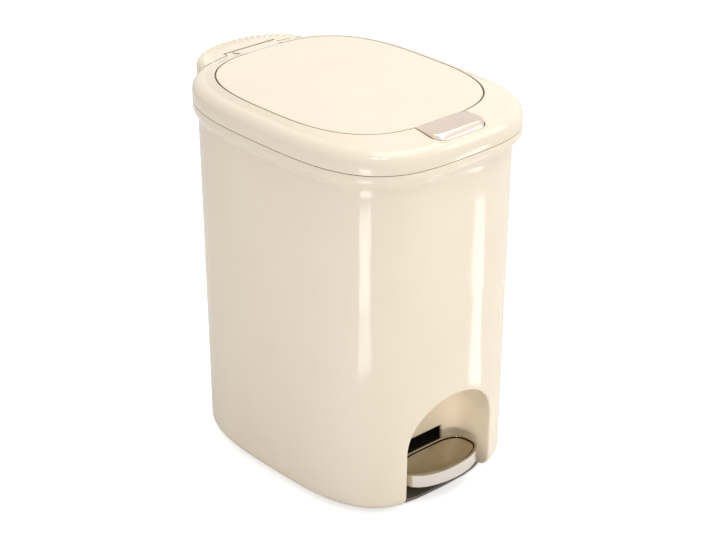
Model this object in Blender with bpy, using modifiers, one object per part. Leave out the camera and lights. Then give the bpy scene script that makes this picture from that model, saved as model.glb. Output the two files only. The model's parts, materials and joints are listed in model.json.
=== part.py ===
"""Pedal bin: cream body with a pedal niche, lid frame, hinged flap, push button and inner bucket.

Metres, +Z up, front towards -Y, standing on its feet at z = 0. The outlines of the body, frame and flap
are superellipses about one upright axis, the outline axis. Everything hangs from one empty on that axis,
set back so that the finished bin's box is centred on the origin.
"""

import math

import bmesh
import bpy
from mathutils import Matrix, Vector

# General fits
wall = 0.0022
fit_gap = 0.0003
running_gap = 0.0003
cut_overrun = 0.01
merge_distance = 0.00001

# Body outline
seam_height = 0.315
seam_half_x = 0.105
seam_half_y = 0.135
seam_squareness = 3.35
seam_rear_squareness = 3.0
foot_lift = 0.0012
base_plate_thickness = 0.003
foot_wall_inset_x = 0.0075
foot_wall_inset_y = 0.011
foot_fillet = 0.012
flange_width = 0.010
wall_inset_at_top = 0.0066
bead_height = 0.005
flare_height = 0.011

# Pedal niche
niche_half_width = 0.0488
niche_top = 0.0977
niche_spring = 0.055
niche_squareness = 2.3
niche_depth = 0.045
niche_corner = 0.014
slot_half_width = 0.0318
slot_bottom = 0.0085
slot_top = 0.0369

# Pedal and its lever
pedal_side_gap = 0.0094
pedal_setback = 0.0138
pedal_front_depth = 0.0189
pedal_back_depth = 0.0221
pedal_front_squareness = 2.0
pedal_back_squareness = 3.6
pedal_top = 0.0315
pedal_band_height = 0.012
pedal_band_thickness = 0.0012
pedal_band_edge = 0.0004
pedal_lip_depth = 0.0008
inlay_thickness = 0.0016
inlay_groove = 0.0011
pivot_setback = 0.049
pivot_height = 0.017
pivot_radius = 0.002
lever_half_width = 0.018
lever_thickness = 0.004
lever_hub_radius = 0.0045
lever_hub_arc = math.radians(40)
lever_nose_radius = 0.0025
lever_nose_height = 0.0125
lever_side_gap = 0.0012
ear_thickness = 0.0035
ear_half_length = 0.006

# Push rod
rod_radius = 0.002
rod_cap_radius = 0.0035
rod_cap_height = 0.003
rod_foot_radius = 0.004
rod_foot_height = 0.003
rod_contact_gap = 0.0004
rod_setback = 0.0163
rod_notch_gap = 0.0009
guide_half_width = 0.008
guide_height = 0.012
guide_lip = 0.0015
guide_level_shares = (0.19, 0.76)

# Lid frame
frame_side_height = 0.0082
frame_corner = 0.010
frame_wall = 0.0024
rim_rise = 0.0216
rim_width_side = 0.0171
rim_width_front = 0.0316
rim_width_rear = 0.0210
spigot_depth = 0.0045
spigot_thickness = 0.0021
spigot_gap = 0.0005
panel_gap = 0.0012
ledge_width = 0.0045
ledge_drop = 0.0054
ledge_thickness = 0.002

# Flap panel
panel_squareness = 2.98
panel_thickness = 0.0035
panel_edge_round = 0.0008
panel_crown = 0.002
crown_ring_shares = (0.8, 0.55, 0.3, 0.1)
skirt_depth = 0.0036
skirt_thickness = 0.0016

# Flap hinge
hinge_inset = 0.0036
hinge_drop = 0.0071
barrel_radius = 0.0034
lug_width = 0.0067
knuckle_half_width = 0.0202
hinge_pin_radius = 0.0015
hinge_pin_cover = 0.001
snap_slot_share = 0.85
crank_radius = 0.0135
crank_angle = math.radians(37.5)
crank_nose_radius = 0.0035
crank_half_width = 0.005
tongue_inset = 0.0017
tongue_thickness = 0.0041
tongue_overlap = 0.016
screw_spread_share = 0.6

# Ribbed hinge cover
cover_half_width = 0.0575
cover_root = 0.013
cover_reach = 0.028
cover_squareness = 2.2
cover_drop = 0.0042
cover_height = 0.022
cover_round = 0.007
cover_foot_round = 0.002
cover_wall = 0.0022
cover_rib_pitch = 0.0070
cover_rib_depth = 0.0007
rib_inset_shares = (1.0, 0.3, 0.0, 0.3)
cover_tab_thickness = 0.0025
cover_tab_reach = 0.0155
cover_screw_edge = 0.005
cover_boss_radius = 0.0036

# Button and latch
button_half_width = 0.0273
button_overlap = 0.0014
button_top_depth = 0.0230
button_bevel_depth = 0.0042
button_rise = 0.0004
button_thickness = 0.0037
button_lip = 0.0060
button_lip_thickness = 0.0017
button_gap = 0.0006
pocket_depth = 0.0125
pocket_wall = 0.0024
pocket_side_drop = 0.0044
pocket_back_room = 0.0035
pocket_floor_setback = 0.0045
rocker_pin_setback = 0.0025
rocker_pin_drop = 0.007
rocker_pin_radius = 0.0012
rocker_hub_radius = 0.0026
rocker_thickness = 0.0025
hook_half_width = 0.0045
hook_thickness = 0.0018
hook_arm_thickness = 0.0029
hook_reach = 0.014
hook_height = 0.008
hook_setback = 0.010
hook_nose = 0.0016
catch_half_width = 0.005
catch_clearance = 0.0063
catch_thickness = 0.0016
catch_lift = 0.0035
catch_nose = 0.0012
catch_flange_length = 0.0143
catch_screw_edge = 0.003
spring_setback = 0.014
spring_coil_radius = 0.0025
spring_wire_radius = 0.00035
spring_turns = 3
spring_steps_per_turn = 10

# Inner bucket and its bail
bucket_bottom = 0.040
bucket_bottom_gap_x = 0.0135
bucket_bottom_gap_y = 0.020
bucket_top_gap_x = 0.0113
bucket_top_gap_y = 0.0175
bucket_shift = 0.006
bucket_wall = 0.0018
bucket_fillet = 0.010
bucket_rim_gap = 0.0072
bucket_rim_drop = 0.0082
bucket_rim_thickness = 0.002
bucket_step_gap = 0.0035
bail_drop = 0.0048
bail_wire_radius = 0.00175
bail_side_gap = 0.0077
bail_front_gap = 0.0235
bail_end_reach = 0.0095
bail_corner = 0.045
bail_end_corner = 0.004
grip_radius = 0.005
grip_length = 0.060

# Fasteners and feet
screw_head_radius = 0.0028
screw_head_height = 0.0016
screw_head_room = 0.0006
screw_shank_radius = 0.0013
screw_end_cover = 0.0009
base_screw_length = 0.0125
base_screw_inset_x = 0.022
base_screw_inset_y = 0.074
boss_radius = 0.0045
boss_top = 0.0165
foot_radius = 0.008
foot_inset_x = 0.0375
foot_inset_y = 0.046
foot_recess = 0.001
bumper_head_radius = 0.0019
bumper_head_height = 0.0013
bumper_stem_radius = 0.0011
bumper_stem_length = 0.0042
bumper_turn_shares = (0.68, 0.82)

# Mesh density
outline_points = 40
arc_steps = 3
barrel_steps = 20
round_steps = 12
screw_steps = 10

# Body and niche, worked out
body_bottom = foot_lift + base_plate_thickness + fit_gap
bead_bottom = seam_height - bead_height
flare_bottom = bead_bottom - flare_height
foot_wall_half_x = seam_half_x - foot_wall_inset_x
foot_wall_half_y = seam_half_y - foot_wall_inset_y
wall_top_half_x = seam_half_x - wall_inset_at_top
wall_top_half_y = seam_half_y - wall_inset_at_top
niche_back_y = niche_depth - foot_wall_half_y
base_screw_x = foot_wall_half_x - base_screw_inset_x
base_screw_y = foot_wall_half_y - base_screw_inset_y
foot_x = foot_wall_half_x - foot_inset_x
foot_y = foot_wall_half_y - foot_inset_y

# Frame, flap and hinge, worked out
frame_bottom = seam_height + fit_gap
frame_arc_bottom = frame_bottom + frame_side_height
rim_edge_height = seam_height + rim_rise
ledge_top = rim_edge_height - ledge_drop
panel_half_x = seam_half_x - rim_width_side
panel_half_y = seam_half_y - (rim_width_front + rim_width_rear) / 2
panel_centre_y = (rim_width_front - rim_width_rear) / 2
panel_front_y = panel_centre_y - panel_half_y
panel_back_y = panel_centre_y + panel_half_y
panel_underside = rim_edge_height - panel_thickness
hinge_y = seam_half_y - hinge_inset
hinge_height = rim_edge_height - hinge_drop
lug_front_x = knuckle_half_width + 2 * running_gap
barrel_half_length = lug_front_x + lug_width
hinge_pin_half_length = barrel_half_length - hinge_pin_cover
tongue_half_width = knuckle_half_width - tongue_inset
tongue_front_y = panel_back_y - tongue_overlap
crank_drop = crank_radius * math.sin(crank_angle)
crank_y = hinge_y - crank_radius * math.cos(crank_angle)

# Hinge cover, worked out
cover_top = rim_edge_height - cover_drop
cover_bottom = cover_top - cover_height
cover_centre_y = seam_half_y - cover_root
cover_half_depth = cover_root + cover_reach
cover_hollow_front_y = hinge_y + barrel_radius + 2 * fit_gap + cover_wall
cover_tab_bottom = frame_bottom + 2 * fit_gap
cover_tab_top = cover_tab_bottom + cover_tab_thickness
cover_tab_back_y = seam_half_y + cover_tab_reach
cover_screw_x = lug_front_x + lug_width / 2
cover_screw_y = cover_tab_back_y - cover_screw_edge
cover_rib_count = round(math.pi * (cover_half_width + cover_half_depth) / 2 / cover_rib_pitch)

# Button and latch, worked out
button_back_y = panel_front_y + button_overlap
button_ridge_y = button_back_y - button_top_depth
button_front_y = button_ridge_y - button_bevel_depth
button_top = rim_edge_height + button_rise
pocket_floor = button_top - pocket_depth
pocket_side_top = button_top - pocket_side_drop
pocket_back_y = button_back_y + pocket_back_room
rocker_pin_y = button_back_y - rocker_pin_setback
rocker_pin_height = button_top - rocker_pin_drop
pocket_floor_back_y = rocker_pin_y - pocket_floor_setback
hook_bottom = rocker_pin_height - hook_reach
hook_top = hook_bottom + hook_height
hook_back_y = rocker_pin_y + hook_setback
catch_front_y = hook_back_y - catch_clearance
catch_bottom = hook_bottom + catch_lift
catch_flange_back_y = catch_front_y + catch_flange_length
catch_screw_y = catch_flange_back_y - catch_screw_edge
spring_y = rocker_pin_y - spring_setback

# Pedal and rod, worked out
pedal_half_width = niche_half_width - pedal_side_gap
pedal_centre_y = pedal_setback - foot_wall_half_y
pivot_y = niche_back_y + pivot_setback
rod_y = hinge_y - rod_setback
rod_cap_top = hinge_height - crank_drop - crank_nose_radius - rod_contact_gap
rod_foot_bottom = lever_nose_height + lever_nose_radius + rod_contact_gap
rod_travel = 2 * crank_drop
pedal_travel = math.asin(rod_travel / (rod_y - pivot_y))
flap_travel = 2 * crank_angle

# Bucket and bail, worked out
bucket_bottom_half_x = foot_wall_half_x - bucket_bottom_gap_x
bucket_bottom_half_y = foot_wall_half_y - bucket_bottom_gap_y
bucket_top_half_x = seam_half_x - bucket_top_gap_x
bucket_top_half_y = seam_half_y - bucket_top_gap_y
bucket_centre_y = -bucket_shift
bucket_rim_height = seam_height - bucket_rim_drop
bail_height = bucket_rim_height - bail_drop
bail_half_width = bucket_top_half_x - bail_side_gap
bail_reach = bucket_top_half_y - bail_front_gap

# The finished bin's box is centred by this shift
centre_shift = -cover_reach / 2


def clear_scene():
    """Remove every object, and the collections that held them."""
    for item in list(bpy.data.objects):
        bpy.data.objects.remove(item, do_unlink=True)
    for group in list(bpy.data.collections):
        bpy.data.collections.remove(group)


def new_collection(name):
    group = bpy.data.collections.new(name)
    bpy.context.scene.collection.children.link(group)
    return group


def new_material(name, colour, roughness, metallic=0.0):
    material = bpy.data.materials.new(name)
    material.use_nodes = True
    shader = material.node_tree.nodes["Principled BSDF"]
    shader.inputs["Base Color"].default_value = (*colour, 1.0)
    shader.inputs["Roughness"].default_value = roughness
    shader.inputs["Metallic"].default_value = metallic
    material.diffuse_color = (*colour, 1.0)
    return material


def new_empty(name, location, parent=None):
    empty = bpy.data.objects.new(name, None)
    empty.empty_display_size = barrel_radius
    empty.location = location
    empty.parent = parent
    parts.objects.link(empty)
    return empty


def place(item, material=None, mount=None):
    """Put an object modelled about the outline axis under its empty, without moving it."""
    group = cutters if material is None else parts
    group.objects.link(item)
    if material is None:
        item.hide_render = True
        item.display_type = "WIRE"
    elif item.type == "MESH" and not item.data.materials:
        item.data.materials.append(material)
    carrier = mount or bin_axis
    offset = carrier.location if carrier is not bin_axis else Vector()
    item.parent = carrier
    item.location = item.location - offset
    return item


def mesh_object(name, shape):
    bmesh.ops.recalc_face_normals(shape, faces=shape.faces)
    mesh = bpy.data.meshes.new(name)
    shape.to_mesh(mesh)
    shape.free()
    return bpy.data.objects.new(name, mesh)


def smooth(item, angle=math.radians(35)):
    item.data.shade_smooth()
    item.data.set_sharp_from_angle(angle=angle)
    return item


def superellipse(half_x, half_y, squareness, centre_y=0.0, rear_squareness=None):
    """A closed outline whose rear half can be rounder than its front half."""
    points = []
    for step in range(outline_points):
        turn = 2 * math.pi * step / outline_points
        across = math.cos(turn)
        along = math.sin(turn)
        power = 2 / (rear_squareness if rear_squareness and along > 0 else squareness)
        x = half_x * math.copysign(abs(across) ** power, across)
        y = half_y * math.copysign(abs(along) ** power, along)
        points.append((x, centre_y + y))
    return points


def ring(height, outline):
    return [(x, y, height) for x, y in outline]


def seam_outline(inset, rear_squareness=seam_rear_squareness):
    return superellipse(seam_half_x - inset, seam_half_y - inset, seam_squareness,
                        rear_squareness=rear_squareness)


def seam_ring(inset, height):
    return ring(height, seam_outline(inset))


def panel_ring(offset, height, share=1.0):
    half_x = (panel_half_x + offset) * share
    half_y = (panel_half_y + offset) * share
    return ring(height, superellipse(half_x, half_y, panel_squareness, panel_centre_y))


def loft(name, rings, closed_loop=False):
    """Skin a list of rings with the same number of points, capped unless the rings close on themselves."""
    shape = bmesh.new()
    loops = [[shape.verts.new(point) for point in points] for points in rings]
    pairs = list(zip(loops, loops[1:]))
    if closed_loop:
        pairs.append((loops[-1], loops[0]))
    for lower, upper in pairs:
        count = len(lower)
        for index in range(count):
            after = (index + 1) % count
            shape.faces.new((lower[index], lower[after], upper[after], upper[index]))
    if not closed_loop:
        shape.faces.new(loops[0])
        shape.faces.new(loops[-1])
    return smooth(mesh_object(name, shape))


def box(name, low, high):
    shape = bmesh.new()
    bmesh.ops.create_cube(shape, size=1.0)
    size = [top - bottom for bottom, top in zip(low, high)]
    centre = [(top + bottom) / 2 for bottom, top in zip(low, high)]
    bmesh.ops.transform(shape, matrix=Matrix.Diagonal((*size, 1.0)), verts=shape.verts)
    bmesh.ops.translate(shape, vec=Vector(centre), verts=shape.verts)
    return mesh_object(name, shape)


def round_bar(name, radius, start, end, steps=round_steps):
    """A plain cylinder between two points."""
    start = Vector(start)
    end = Vector(end)
    shape = bmesh.new()
    bmesh.ops.create_cone(shape, cap_ends=True, segments=steps, radius1=radius, radius2=radius,
                          depth=(end - start).length)
    turn = (end - start).to_track_quat("Z", "Y").to_matrix().to_4x4()
    bmesh.ops.transform(shape, matrix=Matrix.Translation((start + end) / 2) @ turn, verts=shape.verts)
    return smooth(mesh_object(name, shape))


def turned(name, profile, location, along="Z", steps=round_steps):
    """Turn a profile of (radius, height) points, listed top to bottom, about the Z or the X direction."""
    mesh = bpy.data.meshes.new(name)
    closed = profile[0] == profile[-1]
    points = [(radius, 0, height) for radius, height in profile]
    edges = [(index, index + 1) for index in range(len(points) - 1)]
    if closed:
        points.pop()
        edges[-1] = (len(points) - 1, 0)
    mesh.from_pydata(points, edges, [])
    item = bpy.data.objects.new(name, mesh)
    screw = item.modifiers.new("turn", "SCREW")
    screw.axis = "Z"
    screw.steps = steps
    screw.render_steps = steps
    screw.use_merge_vertices = True
    screw.merge_threshold = merge_distance
    screw.use_smooth_shade = True
    item.location = location
    if along == "X":
        item.rotation_euler = (0, math.pi / 2, 0)
    return item


def prism(name, profile, half_width, hole=()):
    """A (y, z) outline, with a hole if one is given, made thick along X from a filled curve."""
    curve = bpy.data.curves.new(name, "CURVE")
    curve.dimensions = "2D"
    curve.fill_mode = "BOTH"
    curve.extrude = half_width
    for loop in filter(len, (profile, hole)):
        spline = curve.splines.new("POLY")
        spline.points.add(len(loop) - 1)
        for point, (y, z) in zip(spline.points, loop):
            point.co = (y, z, 0, 1)
        spline.use_cyclic_u = True
    outline = bpy.data.objects.new(name, curve)
    cutters.objects.link(outline)
    bpy.context.view_layer.update()
    evaluated = outline.evaluated_get(bpy.context.evaluated_depsgraph_get())
    mesh = bpy.data.meshes.new_from_object(evaluated)
    bpy.data.objects.remove(outline, do_unlink=True)
    shape = bmesh.new()
    shape.from_mesh(mesh)
    bpy.data.meshes.remove(mesh)
    bmesh.ops.remove_doubles(shape, verts=shape.verts, dist=merge_distance)
    upright = Matrix(((0, 0, 1, 0), (1, 0, 0, 0), (0, 1, 0, 0), (0, 0, 0, 1)))
    bmesh.ops.transform(shape, matrix=upright, verts=shape.verts)
    return mesh_object(name, shape)


def tube(name, points, radius, resolution=2):
    curve = bpy.data.curves.new(name, "CURVE")
    curve.dimensions = "3D"
    curve.bevel_depth = radius
    curve.bevel_resolution = resolution
    curve.use_fill_caps = True
    spline = curve.splines.new("POLY")
    spline.points.add(len(points) - 1)
    for point, place_at in zip(spline.points, points):
        point.co = (*place_at, 1)
    spline.use_smooth = True
    return bpy.data.objects.new(name, curve)


def boolean(item, other, operation="DIFFERENCE"):
    change = item.modifiers.new(f"{operation.lower()} {other.name}", "BOOLEAN")
    change.operation = operation
    change.object = other
    change.solver = "EXACT"


def round_edges(item, width, segments=1):
    bevel = item.modifiers.new("edges", "BEVEL")
    bevel.width = width
    bevel.segments = segments
    bevel.limit_method = "ANGLE"
    bevel.angle_limit = math.radians(40)


def arc(centre, radius, start, end, steps):
    """Points on a circle in a plane, from the start to the end angle."""
    points = []
    for step in range(steps + 1):
        turn = start + (end - start) * step / steps
        points.append((centre[0] + radius * math.cos(turn), centre[1] + radius * math.sin(turn)))
    return points


def screw_object(name, location, length):
    """An upright screw whose head face is at the location."""
    profile = [(0, length), (screw_shank_radius, length), (screw_shank_radius, screw_head_height),
               (screw_head_radius, screw_head_height), (screw_head_radius, 0), (0, 0)]
    return turned(name, profile, location, steps=screw_steps)


# Outer body

def wall_half(height):
    """The half width and half depth of the drafted wall at a height."""
    rise = (height - body_bottom - foot_fillet) / (flare_bottom - body_bottom - foot_fillet)
    half_x = foot_wall_half_x + (wall_top_half_x - foot_wall_half_x) * rise
    half_y = foot_wall_half_y + (wall_top_half_y - foot_wall_half_y) * rise
    return half_x, half_y


def foot_rings(radius):
    """The rounded foot of the wall, seen at a radius about the fillet's own centre."""
    rings = []
    fillet_centre = body_bottom + foot_fillet
    for step in range(arc_steps + 1):
        turn = math.pi / 2 * step / arc_steps
        inset = foot_fillet - radius * math.sin(turn)
        height = fillet_centre - radius * math.cos(turn)
        half_x = foot_wall_half_x - inset
        half_y = foot_wall_half_y - inset
        rings.append(ring(height, superellipse(half_x, half_y, seam_squareness)))
    return rings


def flare_rings(inset):
    """The wall swells out smoothly to the bead at the top."""
    rings = []
    for step in range(arc_steps + 1):
        share = step / arc_steps
        swell = share * share * (3 - 2 * share)
        rear = seam_squareness + (seam_rear_squareness - seam_squareness) * swell
        outline = seam_outline(wall_inset_at_top * (1 - swell) + inset, rear)
        rings.append(ring(flare_bottom + flare_height * share, outline))
    return rings


def niche_ring(y, inset):
    """The arched outline of the niche, drawn in by an inset, at one depth."""
    half_width = niche_half_width - inset
    rise = niche_top - inset - niche_spring
    points = [(-half_width, y, body_bottom - cut_overrun)]
    for step in range(4 * arc_steps + 1):
        turn = math.pi * (1 - step / (4 * arc_steps))
        across = math.cos(turn)
        up = math.sin(turn)
        x = half_width * math.copysign(abs(across) ** (2 / niche_squareness), across)
        z = niche_spring + rise * abs(up) ** (2 / niche_squareness)
        points.append((x, y, z))
    points.append((half_width, y, body_bottom - cut_overrun))
    return points


def niche_form(name, growth):
    """The niche as a solid, grown on every side but its floor."""
    rings = [niche_ring(-seam_half_y - cut_overrun, -growth)]
    corner = niche_corner + growth
    for step in range(arc_steps + 1):
        turn = math.pi / 2 * step / arc_steps
        y = niche_back_y + growth - corner * (1 - math.sin(turn))
        rings.append(niche_ring(y, corner * (1 - math.cos(turn)) - growth))
    return loft(name, rings)


def outer_body():
    outer = foot_rings(foot_fillet)
    outer += flare_rings(0)
    outer.append(seam_ring(0, seam_height))
    item = place(loft("outer_body", outer), cream)

    hole_half_x = foot_wall_half_x - foot_fillet - flange_width
    hole_half_y = foot_wall_half_y - foot_fillet - flange_width
    hole = superellipse(hole_half_x, hole_half_y, seam_squareness)
    inner = [ring(body_bottom - cut_overrun, hole), ring(body_bottom + wall, hole)]
    inner += foot_rings(foot_fillet - wall)
    inner += flare_rings(wall)
    inner.append(seam_ring(wall, seam_height + cut_overrun))
    hollow = place(loft("body_hollow", inner))
    boolean(hollow, place(niche_form("niche_housing", wall)))
    boolean(item, hollow)
    boolean(item, place(niche_form("niche_hollow", 0)))
    slot = box("lever_slot", (-slot_half_width, niche_back_y - cut_overrun / 2, slot_bottom),
               (slot_half_width, niche_back_y + wall + cut_overrun / 2, slot_top))
    boolean(item, place(slot))
    for x, y, word in corner_places(base_screw_x, base_screw_y):
        foot_of_boss = (x, y, body_bottom + wall / 2)
        boss = round_bar(f"screw_boss_{word}", boss_radius, foot_of_boss, (x, y, boss_top))
        boolean(item, place(boss), "UNION")
        bore_end = (x, y, boss_top + cut_overrun)
        bore_start = (x, y, body_bottom - cut_overrun)
        bore = round_bar(f"screw_bore_{word}", screw_shank_radius + fit_gap, bore_start, bore_end)
        boolean(item, place(bore))
    return item


def corner_places(x, y):
    """The four corners, each with its word."""
    places = []
    for side, side_word in ((-1, "left"), (1, "right")):
        for end, end_word in ((-1, "front"), (1, "rear")):
            places.append((side * x, end * y, f"{end_word}_{side_word}"))
    return places


# Base

def base_plate():
    half_x = foot_wall_half_x - foot_fillet
    half_y = foot_wall_half_y - foot_fillet
    top = foot_lift + base_plate_thickness
    edge = fit_gap
    rings = [ring(foot_lift, superellipse(half_x - 2 * edge, half_y - 2 * edge, seam_squareness)),
             ring(foot_lift + edge, superellipse(half_x - edge, half_y - edge, seam_squareness)),
             ring(top, superellipse(half_x - edge, half_y - edge, seam_squareness))]
    item = place(loft("base_plate", rings), dark_grey)
    pin_gap = pivot_radius + running_gap
    ear_start = lever_half_width + lever_side_gap
    profile = [(pivot_y - ear_half_length, foot_lift + base_plate_thickness / 2),
               (pivot_y + ear_half_length, foot_lift + base_plate_thickness / 2)]
    profile += arc((pivot_y, pivot_height), ear_half_length, 0, math.pi, 2 * arc_steps)
    for side, word in ((-1, "left"), (1, "right")):
        ear = prism(f"ear_{word}", profile, ear_thickness / 2)
        ear.location.x = side * (ear_start + ear_thickness / 2)
        boolean(item, place(ear), "UNION")
    reach = ear_start + ear_thickness + cut_overrun
    bore = round_bar("pedal_bore", pin_gap, (-reach, pivot_y, pivot_height), (reach, pivot_y, pivot_height))
    boolean(item, place(bore))
    for x, y, word in corner_places(base_screw_x, base_screw_y):
        hole = round_bar(f"plate_hole_{word}", screw_shank_radius + fit_gap,
                         (x, y, foot_lift - cut_overrun), (x, y, top + cut_overrun))
        boolean(item, place(hole))
        seat_top = foot_lift + screw_head_height + screw_head_room
        seat = round_bar(f"plate_seat_{word}", screw_head_radius + fit_gap,
                         (x, y, foot_lift - cut_overrun), (x, y, seat_top))
        boolean(item, place(seat))
    for x, y, word in corner_places(foot_x, foot_y):
        pocket = round_bar(f"foot_pocket_{word}", foot_radius + fit_gap,
                           (x, y, foot_lift - cut_overrun), (x, y, foot_lift + foot_recess))
        boolean(item, place(pocket))
    return item


def feet():
    for x, y, word in corner_places(foot_x, foot_y):
        height = foot_lift + foot_recess - fit_gap
        edge = foot_lift / 2
        profile = [(0, height), (foot_radius, height), (foot_radius, edge), (foot_radius - edge, 0), (0, 0)]
        place(turned(f"foot_{word}", profile, (x, y, 0)), rubber)


def base_screws():
    for x, y, word in corner_places(base_screw_x, base_screw_y):
        place(screw_object(f"base_screw_{word}", (x, y, foot_lift + fit_gap), base_screw_length), steel)


# Pedal

def pedal_outline(inset):
    """Half round in front and squarer behind, about the pedal's widest line."""
    points = []
    for step in range(outline_points):
        turn = 2 * math.pi * step / outline_points
        across = math.cos(turn)
        along = math.sin(turn)
        depth = pedal_front_depth if along < 0 else pedal_back_depth
        squareness = pedal_front_squareness if along < 0 else pedal_back_squareness
        x = (pedal_half_width - inset) * math.copysign(abs(across) ** (2 / squareness), across)
        y = (depth - inset) * math.copysign(abs(along) ** (2 / squareness), along)
        points.append((x, pedal_centre_y + y))
    return points


def pedal_rim():
    inner = pedal_outline(pedal_band_thickness)
    outer = pedal_outline(0)
    edge = pedal_band_edge
    shoulder = pedal_outline(edge)
    bottom = pedal_top - pedal_band_height
    rings = [ring(bottom, shoulder), ring(bottom + edge, outer), ring(pedal_top - edge, outer),
             ring(pedal_top, shoulder), ring(pedal_top, inner), ring(bottom, inner)]
    place(loft("pedal_rim", rings, closed_loop=True), brushed_steel, pedal_pivot)


def pedal_tread():
    outline = pedal_outline(pedal_band_thickness + fit_gap)
    top = pedal_top - pedal_lip_depth - inlay_thickness - fit_gap
    bottom = pedal_top - pedal_band_height + fit_gap
    item = place(loft("pedal_tread", [ring(bottom, outline), ring(top, outline)]), black_plastic, pedal_pivot)
    for x, y, word in pedal_screw_places():
        bore = round_bar(f"tread_bore_{word}", screw_shank_radius + fit_gap,
                         (x, y, bottom - cut_overrun), (x, y, top - screw_head_room))
        boolean(item, place(bore))


def pedal_inlay():
    top = pedal_top - pedal_lip_depth
    bottom = top - inlay_thickness
    edge = fit_gap
    outline = pedal_outline(pedal_band_thickness + inlay_groove)
    crown = pedal_outline(pedal_band_thickness + inlay_groove + edge)
    rings = [ring(bottom, outline), ring(top - edge, outline), ring(top, crown)]
    place(loft("pedal_inlay", rings), bronze, pedal_pivot)


def pedal_screw_places():
    half_spread = lever_half_width * screw_spread_share
    return [(-half_spread, pedal_centre_y, "left"), (half_spread, pedal_centre_y, "right")]


def pedal_lever():
    """A flat bar from under the tread, over the pivot, to a round nose under the push rod."""
    tongue_top = pedal_top - pedal_band_height - fit_gap
    tongue_bottom = tongue_top - lever_thickness
    front = pedal_centre_y - pedal_front_depth / 2
    bend_y = niche_back_y - niche_corner
    half = lever_thickness / 2
    profile = [(front, tongue_top), (front, tongue_bottom), (bend_y, tongue_bottom),
               (pivot_y - lever_hub_radius, pivot_height - half)]
    hub = (pivot_y, pivot_height)
    nose = (rod_y, lever_nose_height)
    up = math.pi / 2
    profile += arc(hub, lever_hub_radius, -up - lever_hub_arc, -up + lever_hub_arc, arc_steps)
    profile.append((pivot_y + 2 * lever_hub_radius, pivot_height - half))
    profile += arc(nose, lever_nose_radius, -up, up, 2 * arc_steps)
    profile.append((pivot_y + 2 * lever_hub_radius, pivot_height + half))
    profile += arc(hub, lever_hub_radius, up - lever_hub_arc, up + lever_hub_arc, arc_steps)
    profile += [(pivot_y - lever_hub_radius, pivot_height + half), (bend_y, tongue_top)]
    bore = arc(hub, pivot_radius + running_gap, 0, 2 * math.pi, round_steps)[1:]
    item = place(prism("pedal_lever", profile, lever_half_width, bore), black_plastic, pedal_pivot)
    for x, y, word in pedal_screw_places():
        hole = round_bar(f"lever_hole_{word}", screw_shank_radius + fit_gap,
                         (x, y, tongue_bottom - cut_overrun), (x, y, tongue_top + cut_overrun))
        boolean(item, place(hole))
        seat = round_bar(f"lever_seat_{word}", screw_head_radius + fit_gap,
                         (x, y, tongue_bottom - cut_overrun),
                         (x, y, tongue_bottom + screw_head_height + screw_head_room))
        boolean(item, place(seat))
        start = tongue_bottom + fit_gap
        tread_top = pedal_top - pedal_lip_depth - inlay_thickness - fit_gap
        length = tread_top - screw_end_cover - start
        place(screw_object(f"pedal_screw_{word}", (x, y, start), length), steel, pedal_pivot)


def pedal_pin():
    reach = lever_half_width + lever_side_gap + ear_thickness
    start = (-reach, pivot_y, pivot_height)
    end = (reach, pivot_y, pivot_height)
    place(round_bar("pedal_pin", pivot_radius, start, end), steel)


# Push rod

def push_rod():
    rod_bottom = rod_foot_bottom + rod_foot_height + fit_gap
    rod_top = rod_cap_top - rod_cap_height - fit_gap
    place(round_bar("push_rod", rod_radius, (0, rod_y, rod_bottom), (0, rod_y, rod_top)), steel, rod_slide)
    rounding = fit_gap
    cap = [(0, rod_cap_height), (rod_cap_radius - rounding, rod_cap_height),
           (rod_cap_radius, rod_cap_height - rounding), (rod_cap_radius, 0), (0, 0)]
    place(turned("rod_cap", cap, (0, rod_y, rod_cap_top - rod_cap_height)), nylon, rod_slide)
    foot = [(0, rod_foot_height), (rod_foot_radius, rod_foot_height), (rod_foot_radius, rounding),
            (rod_foot_radius - rounding, 0), (0, 0)]
    place(turned("rod_foot", foot, (0, rod_y, rod_foot_bottom)), nylon, rod_slide)


def rod_guides():
    for word, share in zip(("lower", "upper"), guide_level_shares):
        level = seam_height * share
        back = wall_half(level - guide_height / 2)[1] - wall - fit_gap
        front = rod_y - rod_radius - running_gap - guide_lip
        low = (-guide_half_width, front, level - guide_height / 2)
        high = (guide_half_width, back, level + guide_height / 2)
        item = place(box(f"rod_guide_{word}", low, high), nylon)
        bore = round_bar(f"guide_bore_{word}", rod_radius + running_gap,
                         (0, rod_y, level - guide_height), (0, rod_y, level + guide_height))
        boolean(item, place(bore))


# Lid frame

def hinge_bar(name, radius, start_x, end_x):
    """A length of a round bar on the flap's hinge axis."""
    return round_bar(name, radius, (start_x, hinge_y, hinge_height), (end_x, hinge_y, hinge_height),
                     barrel_steps)


def shoulder_rings(growth):
    """The frame's rounded shoulder, grown on every side, from its upright side to its top."""
    rings = []
    radius = frame_corner + growth
    for step in range(arc_steps + 1):
        turn = math.pi / 2 * step / arc_steps
        inset = frame_corner - radius * math.cos(turn)
        rings.append(seam_ring(inset, frame_arc_bottom + radius * math.sin(turn)))
    return rings


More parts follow.
